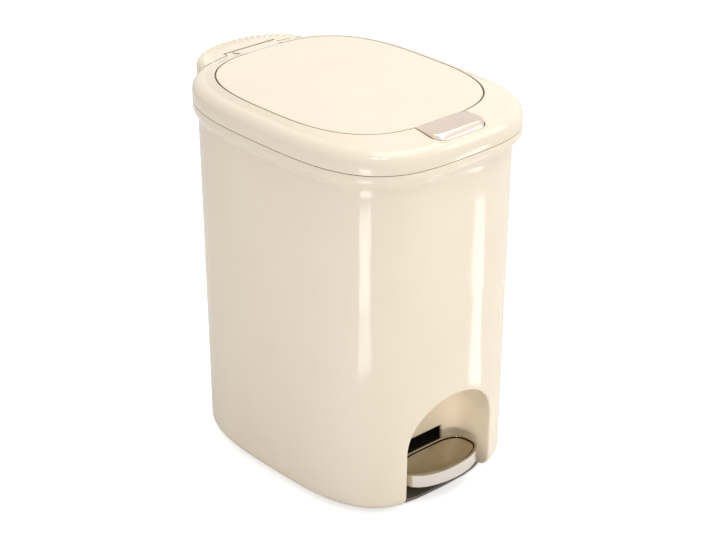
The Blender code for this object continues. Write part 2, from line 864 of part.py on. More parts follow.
def lid_frame():
    corner_z = frame_arc_bottom
    rings = [seam_ring(0, frame_bottom)] + shoulder_rings(0)
    rings.append(panel_ring(panel_gap + panel_edge_round, rim_edge_height))
    rings.append(panel_ring(panel_gap, rim_edge_height - panel_edge_round))
    rings.append(panel_ring(panel_gap, ledge_top))
    rings.append(panel_ring(panel_gap - ledge_width, ledge_top))
    rings.append(panel_ring(panel_gap - ledge_width, ledge_top - ledge_thickness))
    inner_arc = frame_corner - frame_wall
    for step in range(arc_steps + 1):
        turn = math.pi / 2 * (1 - step / arc_steps)
        inset = frame_corner - inner_arc * math.cos(turn)
        rings.append(seam_ring(inset, corner_z + inner_arc * math.sin(turn)))
    spigot_outer = wall + spigot_gap
    spigot_inner = spigot_outer + spigot_thickness
    spigot_bottom = seam_height - spigot_depth
    rings.append(seam_ring(spigot_inner, corner_z - spigot_thickness))
    rings.append(seam_ring(spigot_inner, spigot_bottom))
    rings.append(seam_ring(spigot_outer, spigot_bottom))
    rings.append(seam_ring(spigot_outer, frame_bottom))
    item = place(loft("lid_frame", rings, closed_loop=True), cream, frame_lift)
    add_hinge_seat(item)
    add_button_pocket(item)
    add_bumper_holes(item)


def add_hinge_seat(item):
    """Two lugs for the pin, open behind so that it snaps in, and the room that the knuckle turns in."""
    lug_back_y = seam_half_y - (wall + spigot_gap + spigot_thickness) / 2
    slot_half = hinge_pin_radius * snap_slot_share
    for side, word in ((-1, "left"), (1, "right")):
        near = side * lug_front_x
        far = side * barrel_half_length
        low = (min(near, far), hinge_y - barrel_radius, cover_tab_bottom)
        high = (max(near, far), lug_back_y, hinge_height)
        boolean(item, place(box(f"lug_{word}", low, high)), "UNION")
        boolean(item, place(hinge_bar(f"lug_barrel_{word}", barrel_radius, near, far)), "UNION")
        boolean(item, place(cover_tab(f"cover_tab_{word}", side, 0)), "UNION")
        bore_end = side * (hinge_pin_half_length + fit_gap)
        boolean(item, place(hinge_bar(f"pin_bore_{word}", hinge_pin_radius + fit_gap, 0, bore_end)))
        slot_low = (min(0, bore_end), hinge_y, hinge_height - slot_half)
        slot_high = (max(0, bore_end), seam_half_y + cut_overrun, hinge_height + slot_half)
        boolean(item, place(box(f"snap_slot_{word}", slot_low, slot_high)))
        x = side * cover_screw_x
        hole = round_bar(f"tab_hole_{word}", screw_shank_radius + fit_gap,
                         (x, cover_screw_y, cover_tab_bottom - cut_overrun),
                         (x, cover_screw_y, cover_tab_top + cut_overrun / 4))
        boolean(item, place(hole))
    seat = hinge_bar("knuckle_seat", barrel_radius + running_gap, -lug_front_x, lug_front_x)
    boolean(item, place(seat))
    crank_room_half = crank_half_width + running_gap
    crank_room = hinge_bar("crank_room", crank_nose_radius + 3 * running_gap, -crank_room_half, crank_room_half)
    boolean(item, place(crank_room))
    notch_low = (-lug_front_x, panel_back_y - 2 * ledge_width, hinge_height - barrel_radius - running_gap)
    notch_high = (lug_front_x, hinge_y, rim_edge_height + cut_overrun)
    boolean(item, place(box("knuckle_notch", notch_low, notch_high)))


def cover_tab(name, side, growth):
    """A flat tab behind a lug that the hinge cover is screwed to."""
    near = side * (lug_front_x - growth)
    far = side * (barrel_half_length + growth)
    front = hinge_y - growth
    low = (min(near, far), front, cover_tab_bottom - growth)
    high = (max(near, far), cover_tab_back_y + growth, cover_tab_top + growth)
    return box(name, low, high)


def add_button_pocket(item):
    inner = button_half_width + button_gap
    outer = inner + pocket_wall
    front = button_front_y - fit_gap
    tray = box("pocket_tray", (-outer, front - pocket_wall / 2, pocket_floor - pocket_wall),
               (outer, pocket_back_y - screw_end_cover, pocket_side_top))
    boolean(item, place(tray), "UNION")
    recess = box("pocket_recess", (-inner, front, pocket_floor),
                 (inner, pocket_back_y, button_top + cut_overrun))
    boolean(item, place(recess))
    window = box("pocket_window", (-inner, pocket_floor_back_y, pocket_floor - 2 * pocket_wall),
                 (inner, pocket_back_y, pocket_floor + pocket_wall / 2))
    boolean(item, place(window))
    reach = outer - pocket_wall / 3
    bore = round_bar("button_bore", rocker_pin_radius + running_gap,
                     (-reach, rocker_pin_y, rocker_pin_height), (reach, rocker_pin_y, rocker_pin_height))
    boolean(item, place(bore))


def bumper_places():
    """Two points on the flap's ledge, either side of the button."""
    growth = panel_gap - ledge_width / 2
    line = superellipse(panel_half_x + growth, panel_half_y + growth, panel_squareness, panel_centre_y)
    places = []
    for share, word in zip(bumper_turn_shares, ("left", "right")):
        x, y = line[round(share * outline_points)]
        places.append((x, y, word))
    return places


def add_bumper_holes(item):
    for x, y, word in bumper_places():
        hole = round_bar(f"bumper_hole_{word}", bumper_stem_radius + fit_gap,
                         (x, y, ledge_top - cut_overrun), (x, y, ledge_top + fit_gap))
        boolean(item, place(hole))


def flap_bumpers():
    for x, y, word in bumper_places():
        head = bumper_head_height
        profile = [(0, head), (bumper_head_radius - fit_gap, head), (bumper_head_radius, head - fit_gap),
                   (bumper_head_radius, 0), (bumper_stem_radius, 0),
                   (bumper_stem_radius, -bumper_stem_length), (0, -bumper_stem_length)]
        bumper = turned(f"flap_bumper_{word}", profile, (x, y, ledge_top + fit_gap), steps=screw_steps)
        place(bumper, rubber, frame_lift)


def cover_outline(inset, rib_depth):
    """Half a superellipse behind the frame, walked at even steps, with ribs cut into it."""
    half_x = cover_half_width - inset
    half_y = cover_half_depth - inset
    fine_steps = outline_points * arc_steps * 2
    fine = []
    for step in range(fine_steps + 1):
        turn = math.pi * step / fine_steps
        x = half_x * math.copysign(abs(math.cos(turn)) ** (2 / cover_squareness), math.cos(turn))
        fine.append(Vector((x, half_y * math.sin(turn) ** (2 / cover_squareness))))
    length = sum((after - before).length for before, after in zip(fine, fine[1:]))
    points_per_rib = len(rib_inset_shares)
    count = cover_rib_count * points_per_rib
    points = []
    walked = 0.0
    for before, after in zip(fine, fine[1:]):
        reach = walked + (after - before).length
        while len(points) <= count and len(points) * length / count <= reach + merge_distance:
            share = (len(points) * length / count - walked) / (reach - walked)
            at = before.lerp(after, share)
            outward = Vector((at.x / half_x ** 2, at.y / half_y ** 2)).normalized()
            groove = rib_depth * rib_inset_shares[len(points) % points_per_rib]
            at -= outward * groove
            points.append((at.x, cover_centre_y + at.y))
        walked = reach
    return points


def cover_rings(inset, rib_depth, top, bottom, corner, foot):
    """The cover's block, from its foot up to its rounded top edge."""
    rings = [ring(bottom, cover_outline(inset + foot, rib_depth)),
             ring(bottom + foot, cover_outline(inset, rib_depth))]
    for step in range(arc_steps + 2):
        turn = math.pi / 2 * step / (arc_steps + 1)
        outline = cover_outline(inset + corner * (1 - math.cos(turn)), rib_depth * math.cos(turn))
        rings.append(ring(top - corner * (1 - math.sin(turn)), outline))
    return rings


def hinge_cover():
    """The ribbed cover that hides the hinge behind the frame and keeps its pin in the lugs."""
    rings = cover_rings(0, cover_rib_depth, cover_top, cover_bottom, cover_round, cover_foot_round)
    item = place(loft("hinge_cover", rings), cream, frame_lift)
    growth = fit_gap
    frame_form = [seam_ring(-growth, cover_bottom - cut_overrun)] + shoulder_rings(growth)
    boolean(item, place(loft("frame_form", frame_form)))
    hollow_corner = cover_round - cover_wall
    hollow_rings = cover_rings(cover_wall, 0, cover_top - cover_wall, cover_bottom - cut_overrun,
                               hollow_corner, 0)
    hollow = place(loft("cover_hollow", hollow_rings[1:]))
    front_of_hollow = box("cover_front_wall", (-seam_half_x, 0, cover_bottom - 2 * cut_overrun),
                          (seam_half_x, cover_hollow_front_y, rim_edge_height))
    boolean(hollow, place(front_of_hollow))
    boolean(item, hollow)
    reach = barrel_half_length + 2 * fit_gap
    boolean(item, place(hinge_bar("barrel_room", barrel_radius + 2 * fit_gap, -reach, reach)))
    room_above = box("room_above_barrel", (-reach, hinge_y - barrel_radius, hinge_height),
                     (reach, hinge_y + barrel_radius + 2 * fit_gap, rim_edge_height))
    boolean(item, place(room_above))
    for side, word in ((-1, "left"), (1, "right")):
        x = side * cover_screw_x
        boss = round_bar(f"cover_boss_{word}", cover_boss_radius, (x, cover_screw_y, cover_tab_top + fit_gap),
                         (x, cover_screw_y, cover_top - cover_wall / 2))
        boolean(item, place(boss), "UNION")
        boolean(item, place(cover_tab(f"tab_room_{word}", side, fit_gap)))
        bore_top = cover_top - cover_wall
        bore = round_bar(f"cover_bore_{word}", screw_shank_radius + fit_gap,
                         (x, cover_screw_y, cover_tab_bottom), (x, cover_screw_y, bore_top))
        boolean(item, place(bore))
        start = cover_tab_bottom - fit_gap - screw_head_height
        length = bore_top - screw_end_cover - start
        place(screw_object(f"cover_screw_{word}", (x, cover_screw_y, start), length), steel, frame_lift)


def hinge_pin():
    reach = hinge_pin_half_length
    place(hinge_bar("hinge_pin", hinge_pin_radius, -reach, reach), steel, frame_lift)


# Flap

def flap_panel():
    skirt_outer = -ledge_width
    skirt_inner = skirt_outer - skirt_thickness
    edge_top = rim_edge_height
    rings = [panel_ring(skirt_inner, panel_underside),
             panel_ring(skirt_inner, panel_underside - skirt_depth),
             panel_ring(skirt_outer, panel_underside - skirt_depth),
             panel_ring(skirt_outer, panel_underside),
             panel_ring(-panel_edge_round, panel_underside),
             panel_ring(0, panel_underside + panel_edge_round),
             panel_ring(0, edge_top - panel_edge_round),
             panel_ring(-panel_edge_round, edge_top)]
    for share in crown_ring_shares:
        rings.append(panel_ring(-panel_edge_round, edge_top + panel_crown * (1 - share * share), share))
    item = place(loft("flap_panel", rings), cream, flap_hinge)
    cut_low = panel_underside - 2 * skirt_depth
    cut_high = panel_underside + fit_gap / 2
    cut_half = tongue_half_width + fit_gap
    rear_cut = box("skirt_cut_rear", (-cut_half, tongue_front_y - fit_gap, cut_low),
                   (cut_half, panel_back_y + cut_overrun, cut_high))
    boolean(item, place(rear_cut))
    cut_half = 2 * catch_half_width
    front_cut = box("skirt_cut_front", (-cut_half, -seam_half_y, cut_low),
                    (cut_half, catch_flange_back_y + fit_gap, cut_high))
    boolean(item, place(front_cut))
    notch_half = button_half_width + button_gap
    notch = box("button_notch", (-notch_half, -seam_half_y, panel_underside - skirt_depth / 2),
                (notch_half, button_back_y + button_gap, button_top + cut_overrun))
    boolean(item, place(notch))
    for x, y, word in knuckle_screw_places():
        boolean(item, place(panel_bore(f"panel_bore_{word}", x, y)))
    boolean(item, place(panel_bore("panel_bore_catch", 0, catch_screw_y)))


def panel_bore(name, x, y):
    return round_bar(name, screw_shank_radius + fit_gap, (x, y, panel_underside - cut_overrun),
                     (x, y, rim_edge_height - screw_end_cover))


def knuckle_screw_places():
    x = tongue_half_width * screw_spread_share
    y = tongue_front_y + screw_head_radius + wall
    return [(-x, y, "left"), (x, y, "right")]


def hinge_knuckle():
    """The flap's middle barrel, with its tongue, the bridge over the rim, and the crank for the rod."""
    half = knuckle_half_width
    item = place(hinge_bar("hinge_knuckle", barrel_radius, -half, half), cream, flap_hinge)
    tongue_top = panel_underside - fit_gap / 2
    tongue_bottom = tongue_top - tongue_thickness
    tongue = box("knuckle_tongue", (-tongue_half_width, tongue_front_y, tongue_bottom),
                 (tongue_half_width, hinge_y - barrel_radius / 2, tongue_top))
    boolean(item, place(tongue), "UNION")
    bridge_front = panel_back_y + 2 * fit_gap
    bridge_bottom = tongue_bottom + tongue_thickness / 2
    slope = [(bridge_front, bridge_bottom), (bridge_front, rim_edge_height - fit_gap),
             (hinge_y, hinge_height + barrel_radius), (hinge_y, bridge_bottom)]
    boolean(item, place(prism("knuckle_bridge", slope, half)), "UNION")
    axis = (hinge_y, hinge_height)
    nose = (crank_y, hinge_height - crank_drop)
    side = math.pi * 3 / 2 + crank_angle
    profile = arc(nose, crank_nose_radius, side, side - math.pi, 2 * arc_steps)
    profile += arc(axis, crank_nose_radius, side - math.pi, side - 2 * math.pi, 2 * arc_steps)
    boolean(item, place(prism("crank", profile, crank_half_width)), "UNION")
    reach = half + cut_overrun
    boolean(item, place(hinge_bar("knuckle_bore", hinge_pin_radius + running_gap, -reach, reach)))
    for x, y, word in knuckle_screw_places():
        hole = round_bar(f"tongue_hole_{word}", screw_shank_radius + fit_gap,
                         (x, y, tongue_bottom - cut_overrun), (x, y, tongue_top + cut_overrun))
        boolean(item, place(hole))
        start = tongue_bottom - fit_gap - screw_head_height
        length = rim_edge_height - screw_end_cover - fit_gap - start
        place(screw_object(f"knuckle_screw_{word}", (x, y, start), length), steel, flap_hinge)


def latch_catch():
    """A blade under the flap's front edge, with a nose that points back under the rocker's hook."""
    top = panel_underside - fit_gap
    flange_bottom = top - hook_thickness
    back = catch_front_y + catch_thickness
    profile = [(catch_front_y, top), (catch_front_y, catch_bottom), (back + catch_nose, catch_bottom),
               (back + catch_nose, catch_bottom + catch_nose / 2), (back, catch_bottom + catch_thickness),
               (back, flange_bottom), (catch_flange_back_y, flange_bottom), (catch_flange_back_y, top)]
    item = place(prism("latch_catch", profile, catch_half_width), black_plastic, flap_hinge)
    hole = round_bar("catch_hole", screw_shank_radius + fit_gap,
                     (0, catch_screw_y, flange_bottom - cut_overrun), (0, catch_screw_y, top + cut_overrun))
    boolean(item, place(hole))
    start = flange_bottom - fit_gap - screw_head_height
    length = rim_edge_height - screw_end_cover - fit_gap - start
    place(screw_object("catch_screw", (0, catch_screw_y, start), length), steel, flap_hinge)


# Button

def button_cap():
    underside = button_top - button_thickness
    lip_bottom = button_top - button_lip
    profile = [(button_back_y, underside), (button_front_y + button_lip_thickness, underside),
               (button_front_y + button_lip_thickness, lip_bottom), (button_front_y, lip_bottom),
               (button_front_y, button_top + button_front_y - button_ridge_y), (button_ridge_y, button_top),
               (button_back_y, button_top)]
    item = place(prism("button_cap", profile, button_half_width), champagne, button_pivot)
    round_edges(item, fit_gap)


def rocker_plate_profile():
    top = button_top - button_thickness - fit_gap
    bottom = top - rocker_thickness
    front = button_front_y + button_lip_thickness + fit_gap
    return [(rocker_pin_y, top), (rocker_pin_y, bottom), (front, bottom), (front, top)]


def button_rocker():
    plate_half = button_half_width - fit_gap
    item = place(prism("button_rocker", rocker_plate_profile(), plate_half), black_plastic, button_pivot)
    hub = round_bar("rocker_hub", rocker_hub_radius, (-plate_half, rocker_pin_y, rocker_pin_height),
                    (plate_half, rocker_pin_y, rocker_pin_height))
    boolean(item, place(hub), "UNION")
    arm_front = rocker_pin_y - rocker_hub_radius + hook_thickness / 3
    arm_back = arm_front + hook_arm_thickness
    hook_inner = hook_back_y - hook_thickness
    nose = hook_inner - hook_nose
    profile = [(arm_front, rocker_pin_height), (arm_front, hook_bottom), (hook_back_y, hook_bottom),
               (hook_back_y, hook_top), (hook_inner, hook_top), (nose, hook_top - hook_nose / 3),
               (nose, hook_top - hook_thickness), (hook_inner, hook_top - hook_thickness),
               (hook_inner, hook_bottom + hook_thickness), (arm_back, hook_bottom + hook_thickness),
               (arm_back, rocker_pin_height)]
    boolean(item, place(prism("rocker_hook", profile, hook_half_width)), "UNION")
    reach = plate_half + cut_overrun
    bore = round_bar("rocker_bore", rocker_pin_radius + running_gap,
                     (-reach, rocker_pin_y, rocker_pin_height), (reach, rocker_pin_y, rocker_pin_height))
    boolean(item, place(bore))


def button_pin():
    reach = button_half_width + button_gap + pocket_wall / 2
    pin = round_bar("button_pin", rocker_pin_radius, (-reach, rocker_pin_y, rocker_pin_height),
                    (reach, rocker_pin_y, rocker_pin_height))
    place(pin, steel, frame_lift)


def button_spring():
    """A short coil between the pocket's floor and the rocker."""
    rocker_bottom = button_top - button_thickness - fit_gap - rocker_thickness
    low = pocket_floor + fit_gap + spring_wire_radius
    high = rocker_bottom - fit_gap - spring_wire_radius
    count = spring_turns * spring_steps_per_turn
    points = []
    for step in range(count + 1):
        turn = 2 * math.pi * step / spring_steps_per_turn
        x = spring_coil_radius * math.cos(turn)
        y = spring_y + spring_coil_radius * math.sin(turn)
        points.append((x, y, low + (high - low) * step / count))
    least_gap = (high - low) / spring_turns - 2 * spring_wire_radius
    print(f"button spring: least gap between turns {least_gap * 1000:.2f} mm")
    item = tube("button_spring", points, spring_wire_radius, 1)
    item.data.materials.append(steel)
    place(item, steel, button_pivot)


# Inner bucket

def bucket_half(height):
    share = (height - bucket_bottom) / (bucket_rim_height - bucket_bottom)
    half_x = bucket_bottom_half_x + (bucket_top_half_x - bucket_bottom_half_x) * share
    half_y = bucket_bottom_half_y + (bucket_top_half_y - bucket_bottom_half_y) * share
    return half_x, half_y


def bucket_ring(height, inset=0.0):
    half_x, half_y = bucket_half(height)
    return ring(height, superellipse(half_x - inset, half_y - inset, seam_squareness, bucket_centre_y))


def bucket_rings(inset):
    """The bucket's rounded foot and wall, drawn in by an inset."""
    rings = []
    radius = bucket_fillet - inset
    for step in range(arc_steps):
        turn = math.pi / 2 * step / arc_steps
        height = bucket_bottom + bucket_fillet - radius * math.cos(turn)
        rings.append(bucket_ring(height, bucket_fillet - radius * math.sin(turn)))
    rings.append(bucket_ring(bucket_bottom + bucket_fillet, inset))
    return rings


def step_block(name, growth):
    """The room that the bucket leaves for the pedal niche, grown by a wall."""
    clear = wall + bucket_step_gap + growth
    low = (-niche_half_width - clear, -seam_half_y - cut_overrun, -cut_overrun)
    high = (niche_half_width + clear, niche_back_y + clear, niche_top + clear)
    item = box(name, low, high)
    round_edges(item, niche_corner / 2 + growth, 2)
    return item


def inner_bucket():
    outer = bucket_rings(0)
    outer.append(bucket_ring(bucket_rim_height))
    rim = seam_outline(bucket_rim_gap, seam_squareness)
    outer.append(ring(bucket_rim_height, rim))
    outer.append(ring(bucket_rim_height + bucket_rim_thickness, rim))
    item = place(loft("inner_bucket", outer), cream, bucket_lift)
    hollow_rings = bucket_rings(bucket_wall)
    hollow_rings.append(bucket_ring(bucket_rim_height, bucket_wall))
    hollow_rings.append(bucket_ring(bucket_rim_height + cut_overrun, bucket_wall))
    hollow = place(loft("bucket_hollow", hollow_rings))
    boolean(hollow, place(step_block("niche_room_inner", bucket_wall)))
    boolean(item, hollow)
    boolean(item, place(step_block("niche_room", 0)))
    side = rod_radius + rod_notch_gap
    notch = box("rod_notch", (-side, rod_y - side, bucket_rim_height - cut_overrun / 2),
                (side, seam_half_y, bucket_rim_height + cut_overrun))
    boolean(item, place(notch))
    reach = seam_half_x
    bore = round_bar("bail_bore", bail_wire_radius + running_gap, (-reach, bucket_centre_y, bail_height),
                     (reach, bucket_centre_y, bail_height))
    boolean(item, place(bore))


def filleted_path(corners, radii, steps):
    """A flat path through corners, with the inner ones rounded."""
    points = [corners[0]]
    for index, radius in enumerate(radii):
        before, corner, after = (Vector(corners[index + shift]) for shift in range(3))
        into = (corner - before).normalized()
        out = (after - corner).normalized()
        for step in range(steps + 1):
            share = step / steps
            turn = math.pi / 2 * share
            point = corner - into * radius * (1 - math.sin(turn)) + out * radius * (1 - math.cos(turn))
            points.append(tuple(point))
    points.append(corners[-1])
    return points


def bucket_bail():
    y = bucket_centre_y
    front = y - bail_reach
    z = bail_height
    end = bail_half_width + bail_end_reach
    corners = [(-end, y, z), (-bail_half_width, y, z), (-bail_half_width, front, z),
               (bail_half_width, front, z), (bail_half_width, y, z), (end, y, z)]
    radii = [bail_end_corner, bail_corner, bail_corner, bail_end_corner]
    item = tube("bucket_bail", filleted_path(corners, radii, 2 * arc_steps), bail_wire_radius)
    item.data.materials.append(steel)
    place(item, steel, bail_pivot)
    half = grip_length / 2
    bore = bail_wire_radius + fit_gap
    edge = fit_gap
    profile = [(bore, half), (grip_radius - edge, half), (grip_radius, half - edge),
               (grip_radius, edge - half), (grip_radius - edge, -half), (bore, -half), (bore, half)]
    grip = turned("bail_grip", profile, (0, front, z), along="X")
    place(grip, nylon, bail_pivot)


def build():
    outer_body()
    base_plate()
    feet()
    base_screws()
    pedal_rim()
    pedal_tread()
    pedal_inlay()
    pedal_lever()
    pedal_pin()
    push_rod()
    rod_guides()
    lid_frame()
    flap_bumpers()
    hinge_cover()
    hinge_pin()
    flap_panel()
    hinge_knuckle()
    latch_catch()
    button_cap()
    button_rocker()
    button_pin()
    button_spring()
    inner_bucket()
    bucket_bail()


clear_scene()
parts = new_collection("pedal_bin")
cutters = new_collection("cutters")

cream = new_material("cream_gloss", (0.93, 0.86, 0.74), 0.18)
dark_grey = new_material("dark_grey_plastic", (0.09, 0.085, 0.08), 0.5)
black_plastic = new_material("black_plastic", (0.03, 0.028, 0.026), 0.45)
rubber = new_material("rubber", (0.04, 0.04, 0.04), 0.8)
steel = new_material("steel", (0.60, 0.59, 0.57), 0.3, 1.0)
brushed_steel = new_material("brushed_steel", (0.78, 0.74, 0.70), 0.28, 1.0)
bronze = new_material("bronze_plate", (0.46, 0.39, 0.29), 0.3, 1.0)
champagne = new_material("champagne_metal", (0.80, 0.71, 0.62), 0.3, 1.0)
nylon = new_material("nylon", (0.82, 0.80, 0.75), 0.5)

bin_axis = new_empty("bin_axis", (0, centre_shift, 0))
pedal_pivot = new_empty("pedal_pivot", (0, pivot_y, pivot_height), bin_axis)
rod_slide = new_empty("rod_slide", (0, rod_y, rod_foot_bottom), bin_axis)
frame_lift = new_empty("frame_lift", (0, 0, frame_bottom), bin_axis)
flap_hinge = new_empty("flap_hinge", (0, hinge_y, hinge_height), bin_axis)
button_pivot = new_empty("button_pivot", (0, rocker_pin_y, rocker_pin_height), bin_axis)
bucket_lift = new_empty("bucket_lift", (0, bucket_centre_y, bucket_rim_height), bin_axis)
bail_pivot = new_empty("bail_pivot", (0, bucket_centre_y, bail_height), bin_axis)

build()
print(f"pedal travel {math.degrees(pedal_travel):.2f} degrees, rod travel {rod_travel * 1000:.2f} mm, "
      f"flap travel {math.degrees(flap_travel):.1f} degrees, centre shift {centre_shift * 1000:.2f} mm")
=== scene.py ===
"""Looks of the pedal bin: fine surfaces, materials, floor, lights and camera."""

import json
import math

import bmesh
import bpy
from mathutils import Matrix, Vector

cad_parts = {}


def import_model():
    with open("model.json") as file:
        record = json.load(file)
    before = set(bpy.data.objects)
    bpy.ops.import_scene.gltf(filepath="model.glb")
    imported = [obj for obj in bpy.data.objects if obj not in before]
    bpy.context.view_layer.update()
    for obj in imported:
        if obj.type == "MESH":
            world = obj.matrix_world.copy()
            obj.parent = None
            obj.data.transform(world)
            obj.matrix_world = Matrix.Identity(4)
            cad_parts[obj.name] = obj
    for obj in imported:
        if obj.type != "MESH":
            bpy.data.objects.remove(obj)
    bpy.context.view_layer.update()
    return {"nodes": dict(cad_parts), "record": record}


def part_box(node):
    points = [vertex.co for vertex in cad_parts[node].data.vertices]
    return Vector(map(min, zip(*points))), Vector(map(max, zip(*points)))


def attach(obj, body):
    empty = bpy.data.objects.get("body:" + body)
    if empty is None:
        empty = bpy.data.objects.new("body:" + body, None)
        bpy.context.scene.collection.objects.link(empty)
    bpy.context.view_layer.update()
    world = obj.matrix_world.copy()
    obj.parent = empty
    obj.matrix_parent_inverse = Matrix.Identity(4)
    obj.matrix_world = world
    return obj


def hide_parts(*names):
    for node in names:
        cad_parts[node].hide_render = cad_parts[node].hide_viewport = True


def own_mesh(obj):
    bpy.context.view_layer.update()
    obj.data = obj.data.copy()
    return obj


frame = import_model()

# Frame dimensions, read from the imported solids
body_low, body_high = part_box("outer_body")
flap_low, flap_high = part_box("flap_panel")
band_low, band_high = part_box("pedal_rim")
inlay_low, inlay_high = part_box("pedal_inlay")
cap_low, cap_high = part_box("button_cap")
cover_low, cover_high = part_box("hinge_cover")
knuckle_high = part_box("hinge_knuckle")[1]
axis_y = (body_low.y + body_high.y) / 2

# Body
seam_half_x = body_high.x
seam_half_y = (body_high.y - body_low.y) / 2
seam_height = body_high.z
body_bottom = body_low.z
seam_squareness = 3.35
seam_rear_squareness = 3.0
wall = 0.0022
fit_gap = 0.0003
foot_wall_half_x = 0.0975
foot_wall_half_y = 0.124
foot_fillet = 0.012
flange_width = 0.010
wall_inset_at_top = 0.0066
bead_height = 0.005
flare_height = 0.011
soft_edge = 0.0006
edge_start_share = 0.3

fillet_top = body_bottom + foot_fillet
flare_bottom = seam_height - bead_height - flare_height

# Niche
niche_half_width = 0.0478
niche_top = 0.0977
niche_spring = 0.055
niche_squareness = 2.2
niche_back_y = -0.079
niche_corner = 0.014
niche_lip = 0.0018
niche_lip_start = math.radians(12)
slot_half_width = 0.0318
slot_bottom = 0.0085
slot_top = 0.0369
boss_radius = 0.0045
boss_bore_radius = 0.0016
boss_top = 0.0165

# Lid frame and flap
frame_bottom = seam_height + fit_gap
frame_side_height = 0.0082
frame_corner = 0.010
frame_wall = 0.0024
spigot_depth = 0.0045
spigot_thickness = 0.0021
spigot_gap = 0.0005
rim_edge_height = 0.3366
ledge_width = 0.0045
ledge_drop = 0.0054
ledge_thickness = 0.002
panel_gap = 0.0012
panel_half_x = flap_high.x
panel_half_y = (flap_high.y - flap_low.y) / 2
panel_centre_y = (flap_high.y + flap_low.y) / 2 - axis_y
panel_squareness = 2.98
panel_underside = 0.3331
panel_crown = flap_high.z - rim_edge_height
edge_round = 0.0005
skirt_depth = 0.0036
skirt_thickness = 0.0016
catch_room_half_width = 0.010
catch_room_back_y = -0.0862

# Painted shade in the cream plastic: a darker colour in grooves, seams, gaps and corners
painted_shade_reach = 0.003
painted_shade_colour = (0.40, 0.31, 0.18)
painted_shade_closed = 0.25
painted_shade_open = 0.85
painted_shade_samples = 12

# Mesh density
outline_points = 200
wall_steps = 48
arc_steps = 10
edge_steps = 4
plate_edge_steps = 3
crown_steps = 24
bar_steps = 48
bore_steps = 32
cut_overrun = 0.01

# Shading: the angle in degrees from which an edge stays sharp
crease = 32
shell_crease = 38
small_crease = 50
button_crease = 24


# Geometry helpers

def link(item):
    bpy.context.scene.collection.objects.link(item)
    return item


def mesh_piece(name, points, faces):
    mesh = bpy.data.meshes.new(name)
    mesh.from_pydata([tuple(point) for point in points], [], faces)
    shape = bmesh.new()
    shape.from_mesh(mesh)
    bmesh.ops.recalc_face_normals(shape, faces=shape.faces)
    shape.to_mesh(mesh)
    shape.free()
    return link(bpy.data.objects.new(name, mesh))


def shade(item, degrees=crease):
    item.data.shade_smooth()
    item.data.set_sharp_from_angle(angle=math.radians(degrees))
    return item


def superellipse(half_x, half_y, squareness, centre_y=0.0, rear_squareness=None):
    """A rounded rectangle; its rear half may be rounder than its front half."""
    points = []
    for step in range(outline_points):
        turn = 2 * math.pi * step / outline_points
        across = math.cos(turn)
        along = math.sin(turn)
        power = rear_squareness if rear_squareness and along > 0 else squareness
        reach = (abs(across / half_x) ** power + abs(along / half_y) ** power) ** (-1 / power)
        points.append((reach * across, axis_y + centre_y + reach * along))
    return points


def ring(height, outline):
    return [(x, y, height) for x, y in outline]


def seam_ring(inset, height, rear_squareness=seam_rear_squareness):
    outline = superellipse(seam_half_x - inset, seam_half_y - inset, seam_squareness,
                           rear_squareness=rear_squareness)
    return ring(height, outline)


def panel_ring(offset, height, share=1.0):
    half_x = (panel_half_x + offset) * share
    half_y = (panel_half_y + offset) * share
    return ring(height, superellipse(half_x, half_y, panel_squareness, panel_centre_y))


def between(first, second, share, height):
    """A ring part of the way from one ring to another."""
    points = []
    for start, end in zip(first, second):
        x = start[0] + (end[0] - start[0]) * share
        y = start[1] + (end[1] - start[1]) * share
        points.append((x, y, height))
    return points


def loft(name, rings, closed_loop=False):
    count = len(rings[0])
    points = [point for points in rings for point in points]
    faces = []
    levels = len(rings) if closed_loop else len(rings) - 1
    for level in range(levels):
        low = level * count
        high = ((level + 1) % len(rings)) * count
        for index in range(count):
            after = (index + 1) % count
            faces.append((low + index, low + after, high + after, high + index))
    if not closed_loop:
        faces.append(tuple(range(count)))
        faces.append(tuple(range(len(points) - count, len(points))))
    return mesh_piece(name, points, faces)


def arc(centre, radius, start, end, steps):
    points = []
    for step in range(steps + 1):
        turn = start + (end - start) * step / steps
        points.append((centre[0] + radius * math.cos(turn), centre[1] + radius * math.sin(turn)))
    return points


def quarter(steps, first=0):
    """Steps of a quarter turn: the share gone along one leg and the share left on the other."""
    for step in range(first, steps + 1):
        turn = math.pi / 2 * step / steps
        yield 1 - math.cos(turn), 1 - math.sin(turn)


def box_piece(name, low, high):
    corners = []
    for z in (low[2], high[2]):
        corners += [(x, y, z) for y in (low[1], high[1]) for x in (low[0], high[0])]
    faces = [(0, 2, 3, 1), (4, 5, 7, 6), (0, 1, 5, 4), (2, 6, 7, 3), (0, 4, 6, 2), (1, 3, 7, 5)]
    return mesh_piece(name, corners, faces)


def prism(name, profile, half_width):
    count = len(profile)
    points = [(side * half_width, y, z) for side in (-1, 1) for y, z in profile]
    faces = [tuple(range(count)), tuple(range(2 * count - 1, count - 1, -1))]
    for index in range(count):
        after = (index + 1) % count
        faces.append((index, count + index, count + after, after))
    return mesh_piece(name, points, faces)


def turned(name, profile, centre, along, steps):
    """Turn (radius, distance) points about an axis; a radius of zero closes an end."""
    points = []
    starts = []
    for radius, distance in profile:
        starts.append(len(points))
        for step in range(steps if radius > 0 else 1):
            turn = 2 * math.pi * step / steps
            side = radius * math.cos(turn)
            up = radius * math.sin(turn)
            offset = (distance, side, up) if along == "X" else (side, up, distance)
            points.append(tuple(a + b for a, b in zip(centre, offset)))
    faces = []
    for level in range(len(profile) - 1):
        one, two = starts[level], starts[level + 1]
        for step in range(steps):
            after = (step + 1) % steps
            if profile[level][0] == 0:
                faces.append((one, two + after, two + step))
            elif profile[level + 1][0] == 0:
                faces.append((one + step, one + after, two))
            else:
                faces.append((one + step, one + after, two + after, two + step))
    return mesh_piece(name, points, faces)


